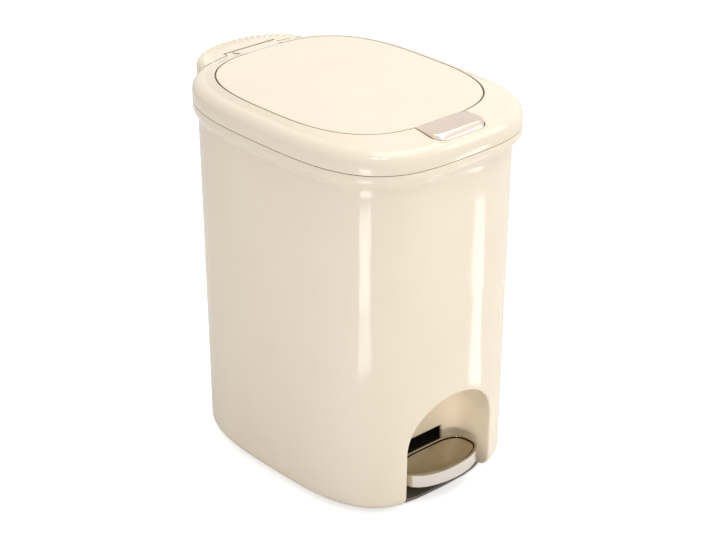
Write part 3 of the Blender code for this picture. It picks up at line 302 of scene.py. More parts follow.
def combine(item, other, operation="DIFFERENCE"):
    """Cut or join once and for all, and drop the other piece."""
    change = item.modifiers.new("change", "BOOLEAN")
    change.operation = operation
    change.object = other
    change.solver = "EXACT"
    bake(item)
    bpy.data.objects.remove(other, do_unlink=True)


def bake(item):
    bpy.context.view_layer.update()
    evaluated = item.evaluated_get(bpy.context.evaluated_depsgraph_get())
    mesh = bpy.data.meshes.new_from_object(evaluated)
    item.modifiers.clear()
    item.data = mesh


def tube(name, points, radius):
    curve = bpy.data.curves.new(name, "CURVE")
    curve.dimensions = "3D"
    curve.bevel_depth = radius
    curve.bevel_resolution = wire_resolution
    curve.use_fill_caps = True
    spline = curve.splines.new("POLY")
    spline.points.add(len(points) - 1)
    for point, place in zip(spline.points, points):
        point.co = (*place, 1)
    return link(bpy.data.objects.new(name, curve))


def dress(item, material, body, *nodes):
    """Give a piece its material, put it on its body, and let it stand for its solids."""
    item.data.materials.clear()
    item.data.materials.append(material)
    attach(item, body)
    if nodes:
        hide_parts(*nodes)


# Materials

# Where a colour mix node has its two colours and its result
mix_first = 6
mix_second = 7
mix_result = 2


class Nodes:
    """A short way to write a material's node tree."""

    def __init__(self, name):
        self.material = bpy.data.materials.new(name)
        self.material.use_nodes = True
        self.tree = self.material.node_tree
        self.shader = self.tree.nodes["Principled BSDF"]

    def add(self, kind, **values):
        node = self.tree.nodes.new(kind)
        for key, value in values.items():
            setattr(node, key, value)
        return node

    def join(self, source, target):
        self.tree.links.new(source, target)

    def set(self, **values):
        for key, value in values.items():
            self.shader.inputs[key.replace("_", " ").title()].default_value = value

    def place(self, scale=(1, 1, 1)):
        """Object coordinates in metres, stretched by a scale."""
        coordinates = self.add("ShaderNodeTexCoord")
        mapping = self.add("ShaderNodeMapping")
        mapping.inputs["Scale"].default_value = scale
        self.join(coordinates.outputs["Object"], mapping.inputs["Vector"])
        return mapping.outputs["Vector"]

    def noise(self, vector, scale, detail=3.0, roughness=0.5):
        noise = self.add("ShaderNodeTexNoise")
        noise.inputs["Scale"].default_value = scale
        noise.inputs["Detail"].default_value = detail
        noise.inputs["Roughness"].default_value = roughness
        self.join(vector, noise.inputs["Vector"])
        return noise.outputs["Fac"]

    def spread(self, value, low, high, from_low=0.3, from_high=0.7):
        """Map a texture's value to a range."""
        spread = self.add("ShaderNodeMapRange")
        spread.inputs["From Min"].default_value = from_low
        spread.inputs["From Max"].default_value = from_high
        spread.inputs["To Min"].default_value = low
        spread.inputs["To Max"].default_value = high
        self.join(value, spread.inputs["Value"])
        return spread.outputs["Result"]

    def ramp(self, value, first, second):
        ramp = self.add("ShaderNodeValToRGB")
        ramp.color_ramp.elements[0].color = (*first, 1)
        ramp.color_ramp.elements[1].color = (*second, 1)
        self.join(value, ramp.inputs["Fac"])
        return ramp.outputs["Color"]

    def bump(self, height, strength, distance):
        bump = self.add("ShaderNodeBump")
        bump.inputs["Strength"].default_value = strength
        bump.inputs["Distance"].default_value = distance
        self.join(height, bump.inputs["Height"])
        self.join(bump.outputs["Normal"], self.shader.inputs["Normal"])


def cream_plastic():
    """Glossy moulded plastic: faint clouds, fine flow lines, a barely wavy surface and painted shade in
    its grooves, seams and gaps.
    """
    nodes = Nodes("cream_plastic")
    clouds = nodes.noise(nodes.place(), scale=16, detail=4)
    colour = nodes.ramp(nodes.spread(clouds, 0, 1), (0.895, 0.787, 0.633), (0.915, 0.812, 0.658))
    # Painted shade: ambient occlusion blends a dark brown into the colour where grooves, seams and gaps
    # are narrow
    openness = nodes.add("ShaderNodeAmbientOcclusion", samples=painted_shade_samples)
    openness.inputs["Distance"].default_value = painted_shade_reach
    mixed = nodes.add("ShaderNodeMix", data_type="RGBA")
    share = nodes.spread(openness.outputs["AO"], 0, 1, painted_shade_closed, painted_shade_open)
    nodes.join(share, mixed.inputs["Factor"])
    mixed.inputs[mix_first].default_value = (*painted_shade_colour, 1)
    nodes.join(colour, mixed.inputs[mix_second])
    nodes.join(mixed.outputs[mix_result], nodes.shader.inputs["Base Color"])
    fine = nodes.noise(nodes.place(), scale=700, detail=3)
    nodes.join(nodes.spread(fine, 0.07, 0.12), nodes.shader.inputs["Roughness"])
    waves = nodes.noise(nodes.place((1, 1, 0.35)), scale=26, detail=2)
    nodes.bump(waves, strength=0.05, distance=0.0010)
    nodes.shader.inputs["Specular IOR Level"].default_value = 0.62
    return nodes.material


def bucket_plastic():
    """The bucket's plastic: the same cream, less glossy, with a fine moulded grain."""
    nodes = Nodes("bucket_plastic")
    clouds = nodes.noise(nodes.place(), scale=25, detail=4)
    nodes.join(nodes.ramp(nodes.spread(clouds, 0, 1), (0.82, 0.73, 0.60), (0.86, 0.77, 0.64)),
               nodes.shader.inputs["Base Color"])
    grain = nodes.noise(nodes.place(), scale=1500, detail=3)
    nodes.join(nodes.spread(grain, 0.36, 0.48), nodes.shader.inputs["Roughness"])
    nodes.bump(grain, strength=0.15, distance=0.0002)
    return nodes.material


def grained_plastic(name, dark, light, grain_scale=1400, rough=(0.42, 0.6)):
    nodes = Nodes(name)
    clouds = nodes.noise(nodes.place(), scale=40, detail=4)
    nodes.join(nodes.ramp(nodes.spread(clouds, 0, 1), dark, light), nodes.shader.inputs["Base Color"])
    grain = nodes.noise(nodes.place(), grain_scale, detail=4)
    nodes.join(nodes.spread(grain, *rough), nodes.shader.inputs["Roughness"])
    nodes.bump(grain, strength=0.25, distance=0.0003)
    return nodes.material


def brushed_metal(name, dark, light, stretch, rough=(0.18, 0.34), strength=0.12):
    """Metal with fine scratches along one direction and slow changes of tint."""
    nodes = Nodes(name)
    lines = nodes.noise(nodes.place(stretch), scale=900, detail=4, roughness=0.65)
    clouds = nodes.noise(nodes.place(), scale=35, detail=3)
    mixed = nodes.add("ShaderNodeMix", data_type="FLOAT")
    mixed.inputs["Factor"].default_value = 0.5
    nodes.join(lines, mixed.inputs["A"])
    nodes.join(clouds, mixed.inputs["B"])
    nodes.join(nodes.ramp(nodes.spread(mixed.outputs["Result"], 0, 1), dark, light),
               nodes.shader.inputs["Base Color"])
    nodes.join(nodes.spread(lines, *rough), nodes.shader.inputs["Roughness"])
    nodes.bump(lines, strength, distance=0.00010)
    nodes.set(metallic=1.0)
    return nodes.material


cream = cream_plastic()
bucket_cream = bucket_plastic()
# The base's own dark grey plastic, kept dark so that it also serves as painted shade under the pedal
dark_grey = grained_plastic("dark_grey_plastic", (0.20, 0.175, 0.145), (0.26, 0.230, 0.190))
black = grained_plastic("black_plastic", (0.020, 0.018, 0.016), (0.034, 0.031, 0.028))
nylon = grained_plastic("nylon", (0.70, 0.67, 0.60), (0.76, 0.73, 0.66), 900, (0.35, 0.5))
rubber = grained_plastic("rubber", (0.020, 0.020, 0.020), (0.035, 0.034, 0.033), 2200, (0.7, 0.9))
zinc = brushed_metal("zinc_steel", (0.50, 0.49, 0.47), (0.66, 0.65, 0.62), (1, 1, 1), (0.25, 0.42))
band_steel = brushed_metal("band_steel", (0.79, 0.73, 0.67), (0.88, 0.83, 0.78), (0.03, 0.03, 1.0),
                           (0.16, 0.26), 0.05)
bronze = brushed_metal("bronze_plate", (0.33, 0.28, 0.20), (0.37, 0.32, 0.23), (0.05, 1.0, 1.0),
                       (0.03, 0.06), 0.005)
champagne = brushed_metal("champagne_metal", (0.75, 0.62, 0.53), (0.81, 0.69, 0.60), (0.03, 1.0, 1.0),
                          (0.16, 0.26), 0.05)


# Body

def wall_half(height, inset=0.0):
    """Half width and half depth of the drafted wall at a height."""
    rise = (height - fillet_top) / (flare_bottom - fillet_top)
    half_x = foot_wall_half_x + (seam_half_x - wall_inset_at_top - foot_wall_half_x) * rise
    half_y = foot_wall_half_y + (seam_half_y - wall_inset_at_top - foot_wall_half_y) * rise
    return half_x - inset, half_y - inset


def body_side_rings(inset):
    """Rounded foot, drafted wall, flare and bead, seen from an inset inside the outer surface."""
    rings = []
    radius = foot_fillet - inset
    for step in range(arc_steps + 1):
        turn = math.pi / 2 * step / arc_steps
        shrink = foot_fillet - radius * math.sin(turn)
        outline = superellipse(foot_wall_half_x - shrink, foot_wall_half_y - shrink, seam_squareness)
        rings.append(ring(fillet_top - radius * math.cos(turn), outline))
    for step in range(1, wall_steps + 1):
        height = fillet_top + (flare_bottom - fillet_top) * step / wall_steps
        rings.append(ring(height, superellipse(*wall_half(height, inset), seam_squareness)))
    for step in range(1, arc_steps + 1):
        share = step / arc_steps
        swell = share * share * (3 - 2 * share)
        rear = seam_squareness + (seam_rear_squareness - seam_squareness) * swell
        height = flare_bottom + flare_height * share
        rings.append(seam_ring(wall_inset_at_top * (1 - swell) + inset, height, rear))
    return rings


def rounded_top(height, radius):
    """Rings that roll an upright wall over to the inside."""
    return [seam_ring(radius * gone, height - radius * left) for gone, left in quarter(edge_steps)]


def wall_front_y(x, z):
    """Where the front wall's outer surface lies at a place on the arch."""
    if z >= fillet_top:
        half_x, half_y = wall_half(z)
    else:
        drop = min((fillet_top - z) / foot_fillet, 1)
        shrink = foot_fillet * (1 - math.sqrt(1 - drop * drop))
        half_x = foot_wall_half_x - shrink
        half_y = foot_wall_half_y - shrink
    return axis_y - half_y * (1 - min(abs(x) / half_x, 1) ** seam_squareness) ** (1 / seam_squareness)


def niche_outline(growth):
    """(x, z) points round the arch, from foot to foot."""
    half_width = niche_half_width + growth
    rise = niche_top + growth - niche_spring
    floor = body_bottom - cut_overrun
    points = []
    for step in range(wall_steps):
        points.append((-half_width, floor + (niche_spring - floor) * step / wall_steps))
    for step in range(2 * wall_steps + 1):
        turn = math.pi * (1 - step / (2 * wall_steps))
        reach = (abs(math.cos(turn)) ** niche_squareness + abs(math.sin(turn)) ** niche_squareness)
        reach = reach ** (-1 / niche_squareness)
        x = half_width * reach * math.cos(turn)
        points.append((x, niche_spring + rise * reach * math.sin(turn)))
    for step in range(1, wall_steps + 1):
        points.append((half_width, niche_spring + (floor - niche_spring) * step / wall_steps))
    return points


def niche_back_rings(growth):
    """The niche's deep end, with its rounded upright corners."""
    rings = []
    corner = niche_corner + growth
    for gone, left in quarter(arc_steps):
        y = axis_y + niche_back_y + growth - corner * left
        rings.append([(x, y, z) for x, z in niche_outline(growth - corner * gone)])
    return rings


def niche_hollow():
    """The niche as a cutter whose mouth flares into the wall with a soft lip."""
    flare = niche_outline(niche_lip * (1 - math.sin(niche_lip_start)))
    rings = [[(x, axis_y - seam_half_y - 2 * cut_overrun, z) for x, z in flare]]
    for step in range(arc_steps + 1):
        turn = niche_lip_start + (math.pi / 2 - niche_lip_start) * step / arc_steps
        outline = niche_outline(niche_lip * (1 - math.sin(turn)))
        rings.append([(x, wall_front_y(x, z) + niche_lip * (1 - math.cos(turn)), z) for x, z in outline])
    return loft("niche_hollow", rings + niche_back_rings(0))


def add_screw_bosses(item):
    """Four bosses on the floor flange, each round one of the base plate's screws."""
    for corner in ("front_left", "front_right", "rear_left", "rear_right"):
        low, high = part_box("base_screw_" + corner)
        x = (low.x + high.x) / 2
        y = (low.y + high.y) / 2
        foot = (x, y, body_bottom + wall / 2)
        combine(item, upright_bar("boss", boss_radius, foot, boss_top), "UNION")
        combine(item, upright_bar("bore", boss_bore_radius, (x, y, body_bottom - wall), boss_top + wall))


def body_shell():
    outer = body_side_rings(0) + rounded_top(seam_height, soft_edge)
    item = loft("body_shell", outer)
    flange_inset = foot_fillet + flange_width
    hole = superellipse(foot_wall_half_x - flange_inset, foot_wall_half_y - flange_inset,
                        seam_squareness)
    inner = [ring(body_bottom - cut_overrun, hole), ring(body_bottom + wall, hole)]
    inner += body_side_rings(wall)
    inner.append(seam_ring(wall, seam_height + cut_overrun))
    hollow = loft("body_hollow", inner)
    housing_rings = [[(x, axis_y - seam_half_y - 2 * cut_overrun, z) for x, z in niche_outline(wall)]]
    combine(hollow, loft("niche_housing", housing_rings + niche_back_rings(wall)))
    combine(item, hollow)
    combine(item, niche_hollow())
    slot_front = axis_y + niche_back_y - cut_overrun / 2
    slot = box_piece("slot", (-slot_half_width, slot_front, slot_bottom),
                     (slot_half_width, slot_front + wall + cut_overrun, slot_top))
    combine(item, slot)
    add_screw_bosses(item)
    shade(item, shell_crease)
    dress(item, cream, "body", "outer_body")


# Lid frame

def frame_rings():
    corner_z = frame_bottom + frame_side_height
    edge_start = soft_edge * edge_start_share
    rings = [seam_ring(soft_edge, frame_bottom), seam_ring(edge_start, frame_bottom + edge_start),
             seam_ring(0, frame_bottom + soft_edge)]
    for gone, left in quarter(arc_steps):
        rings.append(seam_ring(frame_corner * gone, corner_z + frame_corner * (1 - left)))
    shoulder = seam_ring(frame_corner, 0)
    lip = panel_ring(panel_gap + edge_round, 0)
    shoulder_z = corner_z + frame_corner
    for step in range(1, arc_steps):
        share = step / arc_steps
        rings.append(between(shoulder, lip, share, shoulder_z + (rim_edge_height - shoulder_z) * share))
    for gone, left in quarter(edge_steps):
        rings.append(panel_ring(panel_gap + edge_round * left, rim_edge_height - edge_round * gone))
    ledge_top = rim_edge_height - ledge_drop
    rings.append(panel_ring(panel_gap, ledge_top))
    rings.append(panel_ring(panel_gap - ledge_width, ledge_top))
    rings.append(panel_ring(panel_gap - ledge_width, ledge_top - ledge_thickness))
    inner_arc = frame_corner - frame_wall
    for step in range(arc_steps + 1):
        turn = math.pi / 2 * (1 - step / arc_steps)
        inset = frame_corner - inner_arc * math.cos(turn)
        rings.append(seam_ring(inset, corner_z + inner_arc * math.sin(turn)))
    spigot_outer = wall + spigot_gap
    spigot_inner = spigot_outer + spigot_thickness
    rings.append(seam_ring(spigot_inner, corner_z - spigot_thickness))
    rings.append(seam_ring(spigot_inner, seam_height - spigot_depth))
    rings.append(seam_ring(spigot_outer, seam_height - spigot_depth))
    rings.append(seam_ring(spigot_outer, frame_bottom))
    return rings


# Hinge
hinge_inset = 0.0036
hinge_y = seam_half_y - hinge_inset
hinge_height = 0.3295
barrel_radius = 0.0034
knuckle_half_width = knuckle_high.x
lug_front_x = knuckle_half_width + 2 * fit_gap
lug_width = 0.0067
barrel_half_length = lug_front_x + lug_width
pin_radius = 0.0015
pin_end_depth = 0.001
pin_half_length = barrel_half_length - pin_end_depth
snap_slot_share = 0.85
crank_radius = 0.0135
crank_angle = math.radians(37.5)
crank_nose_radius = 0.0035
crank_half_width = 0.005
tongue_half_width = 0.0185
tongue_thickness = 0.0041
tongue_front_y = 0.098

# Ribbed cover behind the hinge
cover_half_width = cover_high.x
cover_root = 0.013
cover_centre_y = seam_half_y - cover_root
cover_half_depth = cover_high.y - axis_y - cover_centre_y
cover_squareness = 2.2
cover_top = cover_high.z
cover_bottom = cover_low.z
cover_round = 0.007
cover_foot_round = 0.002
cover_rib_count = 22
cover_rib_steps = 12
cover_rib_depth = 0.0015
cover_rib_reach = 0.010
cover_rib_sharpness = 1.2
cover_fade_steps = 6
cover_fine_steps = 1200
cover_walk_slack = 0.000006
cover_tab_bottom = frame_bottom + 2 * fit_gap
cover_tab_thickness = 0.0025
cover_tab_top = cover_tab_bottom + cover_tab_thickness
cover_tab_reach = 0.0155
cover_tab_back_y = seam_half_y + cover_tab_reach
cover_screw_x = lug_front_x + lug_width / 2
cover_screw_inset = 0.005
cover_screw_y = cover_tab_back_y - cover_screw_inset
cover_boss_radius = 0.0036
screw_bore_radius = 0.0016

# Button
button_half_width = cap_high.x
button_back_y = cap_high.y - axis_y
button_front_y = cap_low.y - axis_y
button_top = cap_high.z
button_ridge_y = -0.1250
button_gap = 0.0006
button_corner = 0.0085
button_edge = 0.00045
button_edge_steps = 3
button_edge_angle = 30
button_lip = 0.006
button_thickness = 0.0037
button_lip_thickness = 0.0017
pocket_floor = 0.3245
pocket_wall = 0.0024
pocket_side_top = 0.3326
pocket_back_y = -0.0985
pocket_floor_back_y = -0.1090


def shoulder_rings(growth):
    """The frame's rounded shoulder, from its upright side to its top."""
    rings = []
    radius = frame_corner + growth
    for step in range(arc_steps + 1):
        turn = math.pi / 2 * step / arc_steps
        inset = frame_corner - radius * math.cos(turn)
        rings.append(seam_ring(inset, frame_bottom + frame_side_height + radius * math.sin(turn)))
    return rings


def hinge_bar(name, radius, start_x, end_x, steps=bar_steps):
    """A length of a round bar on the flap's hinge axis."""
    profile = [(0, start_x), (radius, start_x), (radius, end_x), (0, end_x)]
    return turned(name, profile, (0, axis_y + hinge_y, hinge_height), "X", steps)


def upright_bar(name, radius, place, top):
    profile = [(0, 0), (radius, 0), (radius, top - place[2]), (0, top - place[2])]
    return turned(name, profile, place, "Z", bore_steps)


def side_box(name, side, near, far, low, high):
    """A box on one side of the middle, from near to far, with the rest given as (y, z)."""
    xs = sorted((side * near, side * far))
    return box_piece(name, (xs[0], axis_y + low[0], low[1]), (xs[1], axis_y + high[0], high[1]))


def cover_tab(side, growth):
    return side_box("cover_tab", side, lug_front_x - growth, barrel_half_length + growth,
                    (hinge_y - growth, cover_tab_bottom - growth),
                    (cover_tab_back_y + growth, cover_tab_top + growth))


def add_hinge_seat(item):
    """Two lugs with the snap-in bores, their tabs, and the room that the knuckle turns in."""
    lug_back_y = seam_half_y - (wall + spigot_gap + spigot_thickness) / 2
    slot_half = pin_radius * snap_slot_share
    for side in (-1, 1):
        lug = side_box("lug", side, lug_front_x, barrel_half_length,
                       (hinge_y - barrel_radius, cover_tab_bottom), (lug_back_y, hinge_height))
        combine(item, lug, "UNION")
        ends = sorted((side * lug_front_x, side * barrel_half_length))
        combine(item, hinge_bar("lug_barrel", barrel_radius, *ends), "UNION")
        combine(item, cover_tab(side, 0), "UNION")
        bore_end = pin_half_length + fit_gap
        combine(item, hinge_bar("pin_bore", pin_radius + fit_gap, *sorted((0, side * bore_end))))
        snap_slot = side_box("snap_slot", side, 0, bore_end, (hinge_y, hinge_height - slot_half),
                             (seam_half_y + cut_overrun, hinge_height + slot_half))
        combine(item, snap_slot)
    combine(item, hinge_bar("knuckle_seat", barrel_radius + fit_gap, -lug_front_x, lug_front_x))
    room_half = crank_half_width + fit_gap
    combine(item, hinge_bar("crank_room", crank_nose_radius + 3 * fit_gap, -room_half, room_half))
    notch = box_piece("notch", (-lug_front_x, axis_y + panel_centre_y + panel_half_y - 2 * ledge_width,
                                hinge_height - barrel_radius - fit_gap),
                      (lug_front_x, axis_y + hinge_y, rim_edge_height + cut_overrun))
    combine(item, notch)


def button_outline(inset, front_inset, back_y):
    """The button from above: straight sides and back, and front corners rounded on a wide curve."""
    half = button_half_width - inset
    front_y = axis_y + button_front_y + front_inset
    depth = button_corner - front_inset
    right = [(half - button_corner * gone, front_y + depth * left) for gone, left in quarter(arc_steps)]
    left = [(-x, y) for x, y in reversed(right)]
    return [(half, axis_y + back_y)] + right + left + [(-half, axis_y + back_y)]


def add_button_pocket(item):
    inner = button_half_width + button_gap
    around = button_outline(-button_gap - pocket_wall, -fit_gap - pocket_wall / 2,
                            pocket_back_y - fit_gap)
    tray = loft("tray", [ring(pocket_floor - pocket_wall, around), ring(pocket_side_top, around)])
    combine(item, tray, "UNION")
    room = button_outline(-button_gap, -fit_gap, pocket_back_y)
    combine(item, loft("recess", [ring(pocket_floor, room), ring(button_top + cut_overrun, room)]))
    window = box_piece("window", (-inner, axis_y + pocket_floor_back_y, pocket_floor - 2 * pocket_wall),
                       (inner, axis_y + pocket_back_y, pocket_floor + pocket_wall / 2))
    combine(item, window)


def frame_shell():
    item = loft("frame_shell", frame_rings(), closed_loop=True)
    add_hinge_seat(item)
    add_button_pocket(item)
    shade(item, shell_crease)
    dress(item, cream, "frame", "lid_frame")


# Hinge cover

def cover_line(inset):
    """Half a superellipse behind the frame, walked at even steps, as (x, y, outward) rows."""
    half_x = cover_half_width - inset
    half_y = cover_half_depth - inset
    fine = []
    for step in range(cover_fine_steps + 1):
        turn = math.pi * step / cover_fine_steps
        x = half_x * math.copysign(abs(math.cos(turn)) ** (2 / cover_squareness), math.cos(turn))
        fine.append(Vector((x, half_y * math.sin(turn) ** (2 / cover_squareness))))
    length = sum((after - before).length for before, after in zip(fine, fine[1:]))
    count = cover_rib_count * cover_rib_steps
    rows = []
    walked = 0.0
    for before, after in zip(fine, fine[1:]):
        reach = walked + (after - before).length
        while len(rows) <= count and len(rows) * length / count <= reach + cover_walk_slack:
            at = before.lerp(after, (len(rows) * length / count - walked) / (reach - walked))
            outward = Vector((at.x / half_x ** 2, at.y / half_y ** 2)).normalized()
            rows.append((at.x, axis_y + cover_centre_y + at.y, outward))
        walked = reach
    return rows


def cover_ring(inset, height, rib_depth, turn=0.0):
    """One ring of the cover; its grooves sink into the surface, which leans in by a turn."""
    points = []
    for index, (x, y, outward) in enumerate(cover_line(inset)):
        ridge = abs(math.sin(math.pi * index / cover_rib_steps))
        groove = rib_depth * (1 - ridge) ** cover_rib_sharpness
        side = outward * groove * math.cos(turn)
        points.append((x - side.x, y - side.y, height - groove * math.sin(turn)))
    return points


def cover_rings(inset, rib_depth, top, bottom, corner, foot):
    """The cover's block: up its ribbed side, over the rounded edge and a little way onto its top."""
    rings = [cover_ring(inset + foot, bottom, rib_depth), cover_ring(inset, bottom + foot, rib_depth)]
    for step in range(arc_steps + 1):
        turn = math.pi / 2 * step / arc_steps
        height = top - corner * (1 - math.sin(turn))
        rings.append(cover_ring(inset + corner * (1 - math.cos(turn)), height, rib_depth, turn))
    for step in range(1, cover_fade_steps + 1):
        share = step / cover_fade_steps
        rings.append(cover_ring(inset + corner + cover_rib_reach * share, top,
                                rib_depth * (1 - share * share), math.pi / 2))
    return rings


def hinge_cover():
    item = loft("hinge_cover_ribbed",
                cover_rings(0, cover_rib_depth, cover_top, cover_bottom, cover_round, cover_foot_round))
    form = [seam_ring(-fit_gap, cover_bottom - cut_overrun)] + shoulder_rings(fit_gap)
    combine(item, loft("frame_form", form))
    hollow = loft("cover_hollow", cover_rings(wall, 0, cover_top - wall, cover_bottom - cut_overrun,
                                              cover_round - wall, 0)[1:])
    hollow_front_y = hinge_y + barrel_radius + 2 * fit_gap + wall
    front_wall = box_piece("front_wall", (-seam_half_x, axis_y, cover_bottom - 2 * cut_overrun),
                           (seam_half_x, axis_y + hollow_front_y, rim_edge_height))
    combine(hollow, front_wall)
    combine(item, hollow)
    reach = barrel_half_length + 2 * fit_gap
    combine(item, hinge_bar("barrel_room", barrel_radius + 2 * fit_gap, -reach, reach))
    room_above = box_piece("room_above", (-reach, axis_y + hinge_y - barrel_radius, hinge_height),
                           (reach, axis_y + hinge_y + barrel_radius + 2 * fit_gap, rim_edge_height))
    combine(item, room_above)
    for side in (-1, 1):
        place = (side * cover_screw_x, axis_y + cover_screw_y, cover_tab_top + fit_gap)
        combine(item, upright_bar("boss", cover_boss_radius, place, cover_top - wall / 2), "UNION")
        combine(item, cover_tab(side, fit_gap))
        start = (place[0], place[1], cover_tab_bottom)
        combine(item, upright_bar("screw_bore", screw_bore_radius, start, cover_top - wall))
    shade(item, small_crease)
    dress(item, cream, "frame", "hinge_cover")


# Flap

def flap_cover():
    skirt_outer = -ledge_width
    skirt_inner = skirt_outer - skirt_thickness
    rings = [panel_ring(skirt_inner, panel_underside),
             panel_ring(skirt_inner, panel_underside - skirt_depth),
             panel_ring(skirt_outer, panel_underside - skirt_depth),
             panel_ring(skirt_outer, panel_underside),
             panel_ring(-edge_round, panel_underside)]
    for gone, left in quarter(edge_steps):
        rings.append(panel_ring(-edge_round * left, panel_underside + edge_round * gone))
    for gone, left in quarter(edge_steps):
        rings.append(panel_ring(-edge_round * gone, rim_edge_height - edge_round * left))
    for step in range(1, crown_steps):
        share = 1 - step / crown_steps
        rings.append(panel_ring(-edge_round, rim_edge_height + panel_crown * (1 - share * share), share))
    item = loft("flap_cover", rings)
    cut_bottom = panel_underside - 2 * skirt_depth
    cut_top = panel_underside + fit_gap / 2
    rear_half = tongue_half_width + fit_gap
    rear = box_piece("rear_cut", (-rear_half, axis_y + tongue_front_y - fit_gap, cut_bottom),
                     (rear_half, axis_y + panel_centre_y + panel_half_y + cut_overrun, cut_top))
    combine(item, rear)
    front = box_piece("front_cut", (-catch_room_half_width, axis_y - seam_half_y, cut_bottom),
                      (catch_room_half_width, axis_y + catch_room_back_y, cut_top))
    combine(item, front)
    notch_half = button_half_width + button_gap
    notch_back = axis_y + button_back_y + button_gap
    notch = box_piece("button_notch",
                      (-notch_half, axis_y - seam_half_y, panel_underside - skirt_depth / 2),
                      (notch_half, notch_back, button_top + cut_overrun))
    combine(item, notch)
    shade(item, shell_crease)
    dress(item, cream, "flap", "flap_panel")


def flap_knuckle():
    """The flap's barrel, with the tongue under the panel and the crank that the rod lifts."""
    half = knuckle_half_width
    item = hinge_bar("flap_knuckle", barrel_radius, -half, half)
    tongue_top = panel_underside - fit_gap / 2
    tongue_bottom = tongue_top - tongue_thickness
    tongue = box_piece("tongue", (-tongue_half_width, axis_y + tongue_front_y, tongue_bottom),
                       (tongue_half_width, axis_y + hinge_y - barrel_radius / 2, tongue_top))
    combine(item, tongue, "UNION")
    axis = (axis_y + hinge_y, hinge_height)
    bridge_front = axis_y + panel_centre_y + panel_half_y + 2 * fit_gap
    bridge_bottom = tongue_bottom + tongue_thickness / 2
    slope = [(bridge_front, bridge_bottom), (bridge_front, rim_edge_height - fit_gap),
             (axis[0], axis[1] + barrel_radius), (axis[0], bridge_bottom)]
    combine(item, prism("bridge", slope, half), "UNION")
    nose = (axis[0] - crank_radius * math.cos(crank_angle),
            axis[1] - crank_radius * math.sin(crank_angle))
    side = math.pi * 3 / 2 + crank_angle
    profile = arc(nose, crank_nose_radius, side, side - math.pi, arc_steps)
    profile += arc(axis, crank_nose_radius, side - math.pi, side - 2 * math.pi, arc_steps)
    combine(item, prism("crank", profile, crank_half_width), "UNION")
    bore_end = half + cut_overrun
    combine(item, hinge_bar("knuckle_bore", pin_radius + fit_gap, -bore_end, bore_end, bore_steps))
    shade(item, small_crease)
    dress(item, cream, "flap", "hinge_knuckle")


# Button

def button_face():
    """The cap: a bevelled front that wraps round its corners, with a lip below it."""
    bevel_width = button_ridge_y - button_front_y
    rings = [ring(button_top - button_lip, button_outline(0, 0, button_back_y)),
             ring(button_top - bevel_width, button_outline(0, 0, button_back_y)),
             ring(button_top, button_outline(0, bevel_width, button_back_y))]
    item = loft("button_face", rings)
    bevel = item.modifiers.new("edges", "BEVEL")
    bevel.width = button_edge
    bevel.segments = button_edge_steps
    bevel.limit_method = "ANGLE"
    bevel.angle_limit = math.radians(button_edge_angle)
    bake(item)
    reach = 2 * button_half_width
    lip_back = axis_y + button_front_y + button_lip_thickness
    room = box_piece("room_under", (-reach, lip_back, pocket_floor - button_lip),
                     (reach, axis_y + button_back_y + button_lip, button_top - button_thickness))
    combine(item, room)
    shade(item, button_crease)
    dress(item, champagne, "button", "button_cap")


spring_wire_radius = 0.00035
wire_resolution = 3
spring_turns = 3
spring_steps = 96


def latch_spring():
    """The coil under the button, which the button presses towards the pocket's floor; here a fixed helix
    on the frame.
    """
    low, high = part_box("button_spring")
    middle = ((low.x + high.x) / 2, (low.y + high.y) / 2)
    coil = (high.y - low.y) / 2 - spring_wire_radius
    bottom = low.z + spring_wire_radius
    height = high.z - low.z - 2 * spring_wire_radius
    points = []
    for step in range(spring_steps + 1):
        turn = 2 * math.pi * spring_turns * step / spring_steps
        points.append((middle[0] + coil * math.cos(turn), middle[1] + coil * math.sin(turn),
                       bottom + height * step / spring_steps))
    curve = tube("spring_path", points, spring_wire_radius)
    bpy.context.view_layer.update()
    evaluated = curve.evaluated_get(bpy.context.evaluated_depsgraph_get())
    mesh = bpy.data.meshes.new_from_object(evaluated)
    bpy.data.objects.remove(curve, do_unlink=True)
    item = shade(link(bpy.data.objects.new("latch_spring", mesh)))
    dress(item, zinc, "frame", "button_spring")
    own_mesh(item)


# Pedal
pedal_half_width = band_high.x
pedal_centre_y = -0.1102
pedal_front_depth = pedal_centre_y + axis_y - band_low.y
pedal_back_depth = band_high.y - axis_y - pedal_centre_y
pedal_front_squareness = 2.0
pedal_back_squareness = 3.6
pedal_top = band_high.z
pedal_bottom = band_low.z
band_thickness = 0.0012
band_edge = 0.0004
plate_edge = 0.0003
lip_edge = 0.0003
lip_width = 0.0021
lip_depth = 0.0007
inlay_groove = 0.0013


def pedal_outline(inset):
    points = []
    for step in range(outline_points):
        turn = 2 * math.pi * step / outline_points
        across = math.cos(turn)
        along = math.sin(turn)
        half_x = pedal_half_width - inset
        half_y = (pedal_front_depth if along < 0 else pedal_back_depth) - inset
        squareness = pedal_front_squareness if along < 0 else pedal_back_squareness
        total = abs(across / half_x) ** squareness + abs(along / half_y) ** squareness
        reach = total ** (-1 / squareness)
        points.append((reach * across, axis_y + pedal_centre_y + reach * along))
    return points


def pedal_band():
    """The steel band round the pedal, up to the lip of the bronze top."""
    rings = []
    for gone, left in quarter(edge_steps):
        rings.append(ring(pedal_bottom + band_edge * left, pedal_outline(band_edge * gone)))
    rings.reverse()
    rings.append(ring(pedal_top - lip_depth, pedal_outline(0)))
    rings.append(ring(pedal_top - lip_depth, pedal_outline(band_thickness)))
    rings.append(ring(pedal_bottom, pedal_outline(band_thickness)))
    item = shade(loft("pedal_band", rings, closed_loop=True), small_crease)
    dress(item, band_steel, "pedal", "pedal_rim")


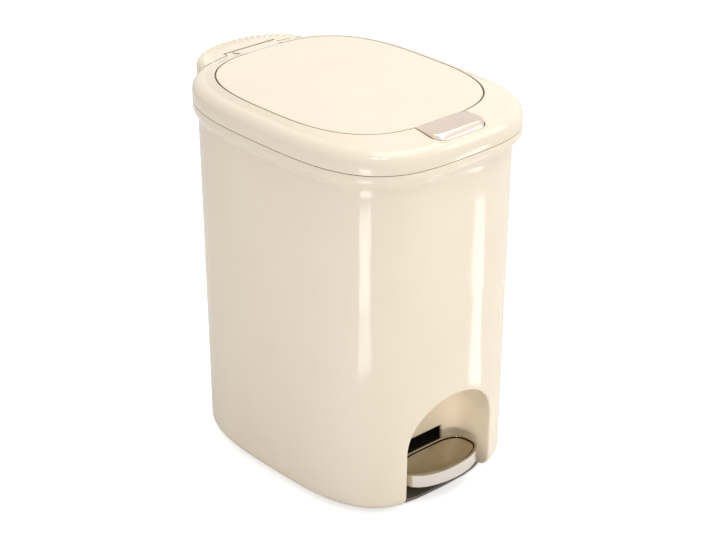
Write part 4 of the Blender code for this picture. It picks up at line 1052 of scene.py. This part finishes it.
def pedal_lip():
    """The bronze lip that lies on the band, outside the groove."""
    rings = [ring(pedal_top - lip_depth, pedal_outline(lip_edge / 2))]
    for gone, left in quarter(edge_steps):
        rings.append(ring(pedal_top - lip_edge * left, pedal_outline(lip_edge / 2 + lip_edge * gone)))
    for gone, left in quarter(plate_edge_steps, 1):
        rings.append(ring(pedal_top - lip_edge * gone, pedal_outline(lip_width - lip_edge * left)))
    rings.append(ring(inlay_low.z, pedal_outline(lip_width)))
    rings.append(ring(inlay_low.z, pedal_outline(band_thickness)))
    rings.append(ring(pedal_top - lip_depth, pedal_outline(band_thickness)))
    item = shade(loft("pedal_lip", rings, closed_loop=True), small_crease)
    dress(item, bronze, "pedal")


def tread_plate():
    """The bronze plate inside the groove."""
    inset = lip_width + inlay_groove
    rings = [ring(inlay_low.z, pedal_outline(inset))]
    for gone, left in quarter(plate_edge_steps):
        rings.append(ring(inlay_high.z - plate_edge * left, pedal_outline(inset + plate_edge * gone)))
    item = shade(loft("tread_plate", rings), small_crease)
    dress(item, bronze, "pedal", "pedal_inlay")


# Base and bucket

def paint_solids():
    """The solids that stay get their materials by their slots in the record."""
    by_slot = {"cream_plastic": cream, "grey_plastic": dark_grey, "black_plastic": black, "nylon": nylon,
               "rubber": rubber, "zinc_steel": zinc, "band_steel": band_steel, "bronze_plate": bronze,
               "champagne_metal": champagne}
    for entry in frame["record"]["subparts"]:
        item = frame["nodes"][entry["node"]]
        item.data.materials.clear()
        slot = by_slot[entry["material_slot"]]
        item.data.materials.append(bucket_cream if entry["node"] == "inner_bucket" else slot)
        shade(item)


# Stage, lights and camera

floor_reach = 12.0
floor_colour = (0.86, 0.86, 0.86)
floor_roughness = 0.9
floor_glow = 0.6
world_colour = (1.0, 0.985, 0.965)
world_light = 0.62
world_seen = 1.0
lamp_target = (0, 0, 0.2)
overhead_place = (0.5, -0.5, 2.2)
overhead_size = (1.8, 1.8)
overhead_power = 20
right_front_place = (1.6, -1.5, 1.0)
right_front_size = (1.0, 1.4)
right_front_power = 8
pane_places = ((-1.12, -1.00, 2.3), (-0.78, -1.30, 2.3))
pane_size = (0.30, 0.55)
pane_power = 3
niche_fill_place = (-0.34, -0.50, 0.060)
niche_fill_target = (0.040, -0.10, 0.045)
niche_fill_size = (0.04, 0.03)
niche_fill_power = 0.0035
niche_fill_colour = (1, 0.93, 0.80)
niche_fill_spread = math.radians(9)
strip_height = 0.002

# Strips on the table: start, end, width and glow
floor_strips = {
    "strip_corner_near": ((-0.28, -0.226), (-0.40, -0.28), 0.11, 2.6),
    "strip_corner": ((-0.40, -0.28), (-0.50, -0.327), 0.13, 4.2),
    "strip_corner_far": ((-0.50, -0.327), (-0.60, -0.375), 0.18, 4.2),
    "strip_front": ((0.154, -0.237), (0.30, -0.358), 0.036, 3.2),
    "strip_front_far": ((0.30, -0.358), (0.465, -0.496), 0.060, 3.0),
}


def stage():
    mesh = bpy.data.meshes.new("floor")
    corners = [(-floor_reach, -floor_reach, 0), (floor_reach, -floor_reach, 0),
               (floor_reach, floor_reach, 0), (-floor_reach, floor_reach, 0)]
    mesh.from_pydata(corners, [], [(0, 1, 2, 3)])
    floor = link(bpy.data.objects.new("floor", mesh))
    nodes = Nodes("floor")
    nodes.set(base_color=(*floor_colour, 1), roughness=floor_roughness)
    path = nodes.add("ShaderNodeLightPath")
    glow = nodes.add("ShaderNodeEmission")
    total = nodes.add("ShaderNodeAddShader")
    strength = nodes.add("ShaderNodeMath", operation="MULTIPLY")
    strength.inputs[1].default_value = floor_glow
    nodes.join(path.outputs["Is Camera Ray"], strength.inputs[0])
    nodes.join(strength.outputs["Value"], glow.inputs["Strength"])
    nodes.join(nodes.shader.outputs["BSDF"], total.inputs[0])
    nodes.join(glow.outputs["Emission"], total.inputs[1])
    nodes.join(total.outputs["Shader"], nodes.tree.nodes["Material Output"].inputs["Surface"])
    mesh.materials.append(nodes.material)


def world():
    """A plain studio: white where it is seen or mirrored, softer where it lights."""
    scene_world = bpy.data.worlds.new("studio")
    bpy.context.scene.world = scene_world
    scene_world.use_nodes = True
    tree = scene_world.node_tree
    background = tree.nodes["Background"]
    background.inputs["Color"].default_value = (*world_colour, 1)
    path = tree.nodes.new("ShaderNodeLightPath")
    seen = tree.nodes.new("ShaderNodeMath")
    seen.operation = "MAXIMUM"
    tree.links.new(path.outputs["Is Camera Ray"], seen.inputs[0])
    tree.links.new(path.outputs["Is Glossy Ray"], seen.inputs[1])
    spread = tree.nodes.new("ShaderNodeMapRange")
    spread.inputs["To Min"].default_value = world_light
    spread.inputs["To Max"].default_value = world_seen
    tree.links.new(seen.outputs["Value"], spread.inputs["Value"])
    tree.links.new(spread.outputs["Result"], background.inputs["Strength"])


def area_light(name, place, target, size, power, colour=(1, 1, 1)):
    light = bpy.data.lights.new(name, "AREA")
    light.shape = "RECTANGLE"
    light.size, light.size_y = size
    light.energy = power
    light.color = colour
    item = link(bpy.data.objects.new(name, light))
    item.location = place
    direction = Vector(target) - Vector(place)
    item.rotation_mode = "QUATERNION"
    item.rotation_quaternion = direction.to_track_quat("-Z", "Y")
    return item


def floor_strip(name, start, end, width, glow):
    """A flat light just above the floor that shines up, unseen by the camera; glow is its brightness."""
    along = Vector((end[0] - start[0], end[1] - start[1], 0))
    light = bpy.data.lights.new(name, "AREA")
    light.shape = "RECTANGLE"
    light.size = width
    light.size_y = along.length
    light.energy = glow * math.pi * width * along.length
    item = link(bpy.data.objects.new(name, light))
    item.location = ((start[0] + end[0]) / 2, (start[1] + end[1]) / 2, strip_height)
    down = Vector((0, 0, -1))
    length_way = along.normalized()
    axes = Matrix((length_way.cross(down), length_way, down)).transposed()
    item.rotation_mode = "QUATERNION"
    item.rotation_quaternion = axes.to_quaternion()
    item.visible_camera = False


def lights():
    area_light("overhead", overhead_place, lamp_target, overhead_size, overhead_power)
    area_light("right_front", right_front_place, lamp_target, right_front_size, right_front_power)
    # Two panes of a window above the camera, mirrored in the frame's shoulder
    for side, place in zip((-1, 1), pane_places):
        area_light(f"pane_{side}", place, lamp_target, pane_size, pane_power)
    # Bright strips lying on the table, mirrored in the walls as upright lines
    for name, strip in floor_strips.items():
        floor_strip(name, *strip)
    # A weak warm lamp that shines into the pedal's niche only
    niche_fill = area_light("niche_fill", niche_fill_place, niche_fill_target, niche_fill_size,
                            niche_fill_power, niche_fill_colour)
    niche_fill.data.spread = niche_fill_spread


# The photograph's camera
camera_azimuth = math.radians(-42)
camera_elevation = math.radians(26.4)
camera_distance = 1.704
camera_aim_height = 0.1733
camera_aim_right = 0.0041
camera_aim_up = -0.0055
focal_pixels = 2000
picture_width = 716
sensor_width = 36
camera_reach = 60


def camera():
    data = bpy.data.cameras.new("camera")
    data.sensor_width = sensor_width
    data.lens = focal_pixels / picture_width * sensor_width
    data.clip_end = camera_reach
    item = link(bpy.data.objects.new("camera", data))
    back = Vector((math.sin(camera_azimuth) * math.cos(camera_elevation),
                   -math.cos(camera_azimuth) * math.cos(camera_elevation), math.sin(camera_elevation)))
    turn = (-back).to_track_quat("-Z", "Y")
    right = turn @ Vector((1, 0, 0))
    up = turn @ Vector((0, 1, 0))
    aim = Vector((0, axis_y, camera_aim_height)) + right * camera_aim_right + up * camera_aim_up
    item.rotation_mode = "QUATERNION"
    item.rotation_quaternion = turn
    item.location = aim + back * camera_distance
    bpy.context.scene.camera = item


paint_solids()
body_shell()
frame_shell()
hinge_cover()
flap_cover()
flap_knuckle()
button_face()
latch_spring()
pedal_band()
pedal_lip()
tread_plate()
stage()
world()
lights()
camera()
bpy.context.scene.view_settings.view_transform = "Standard"
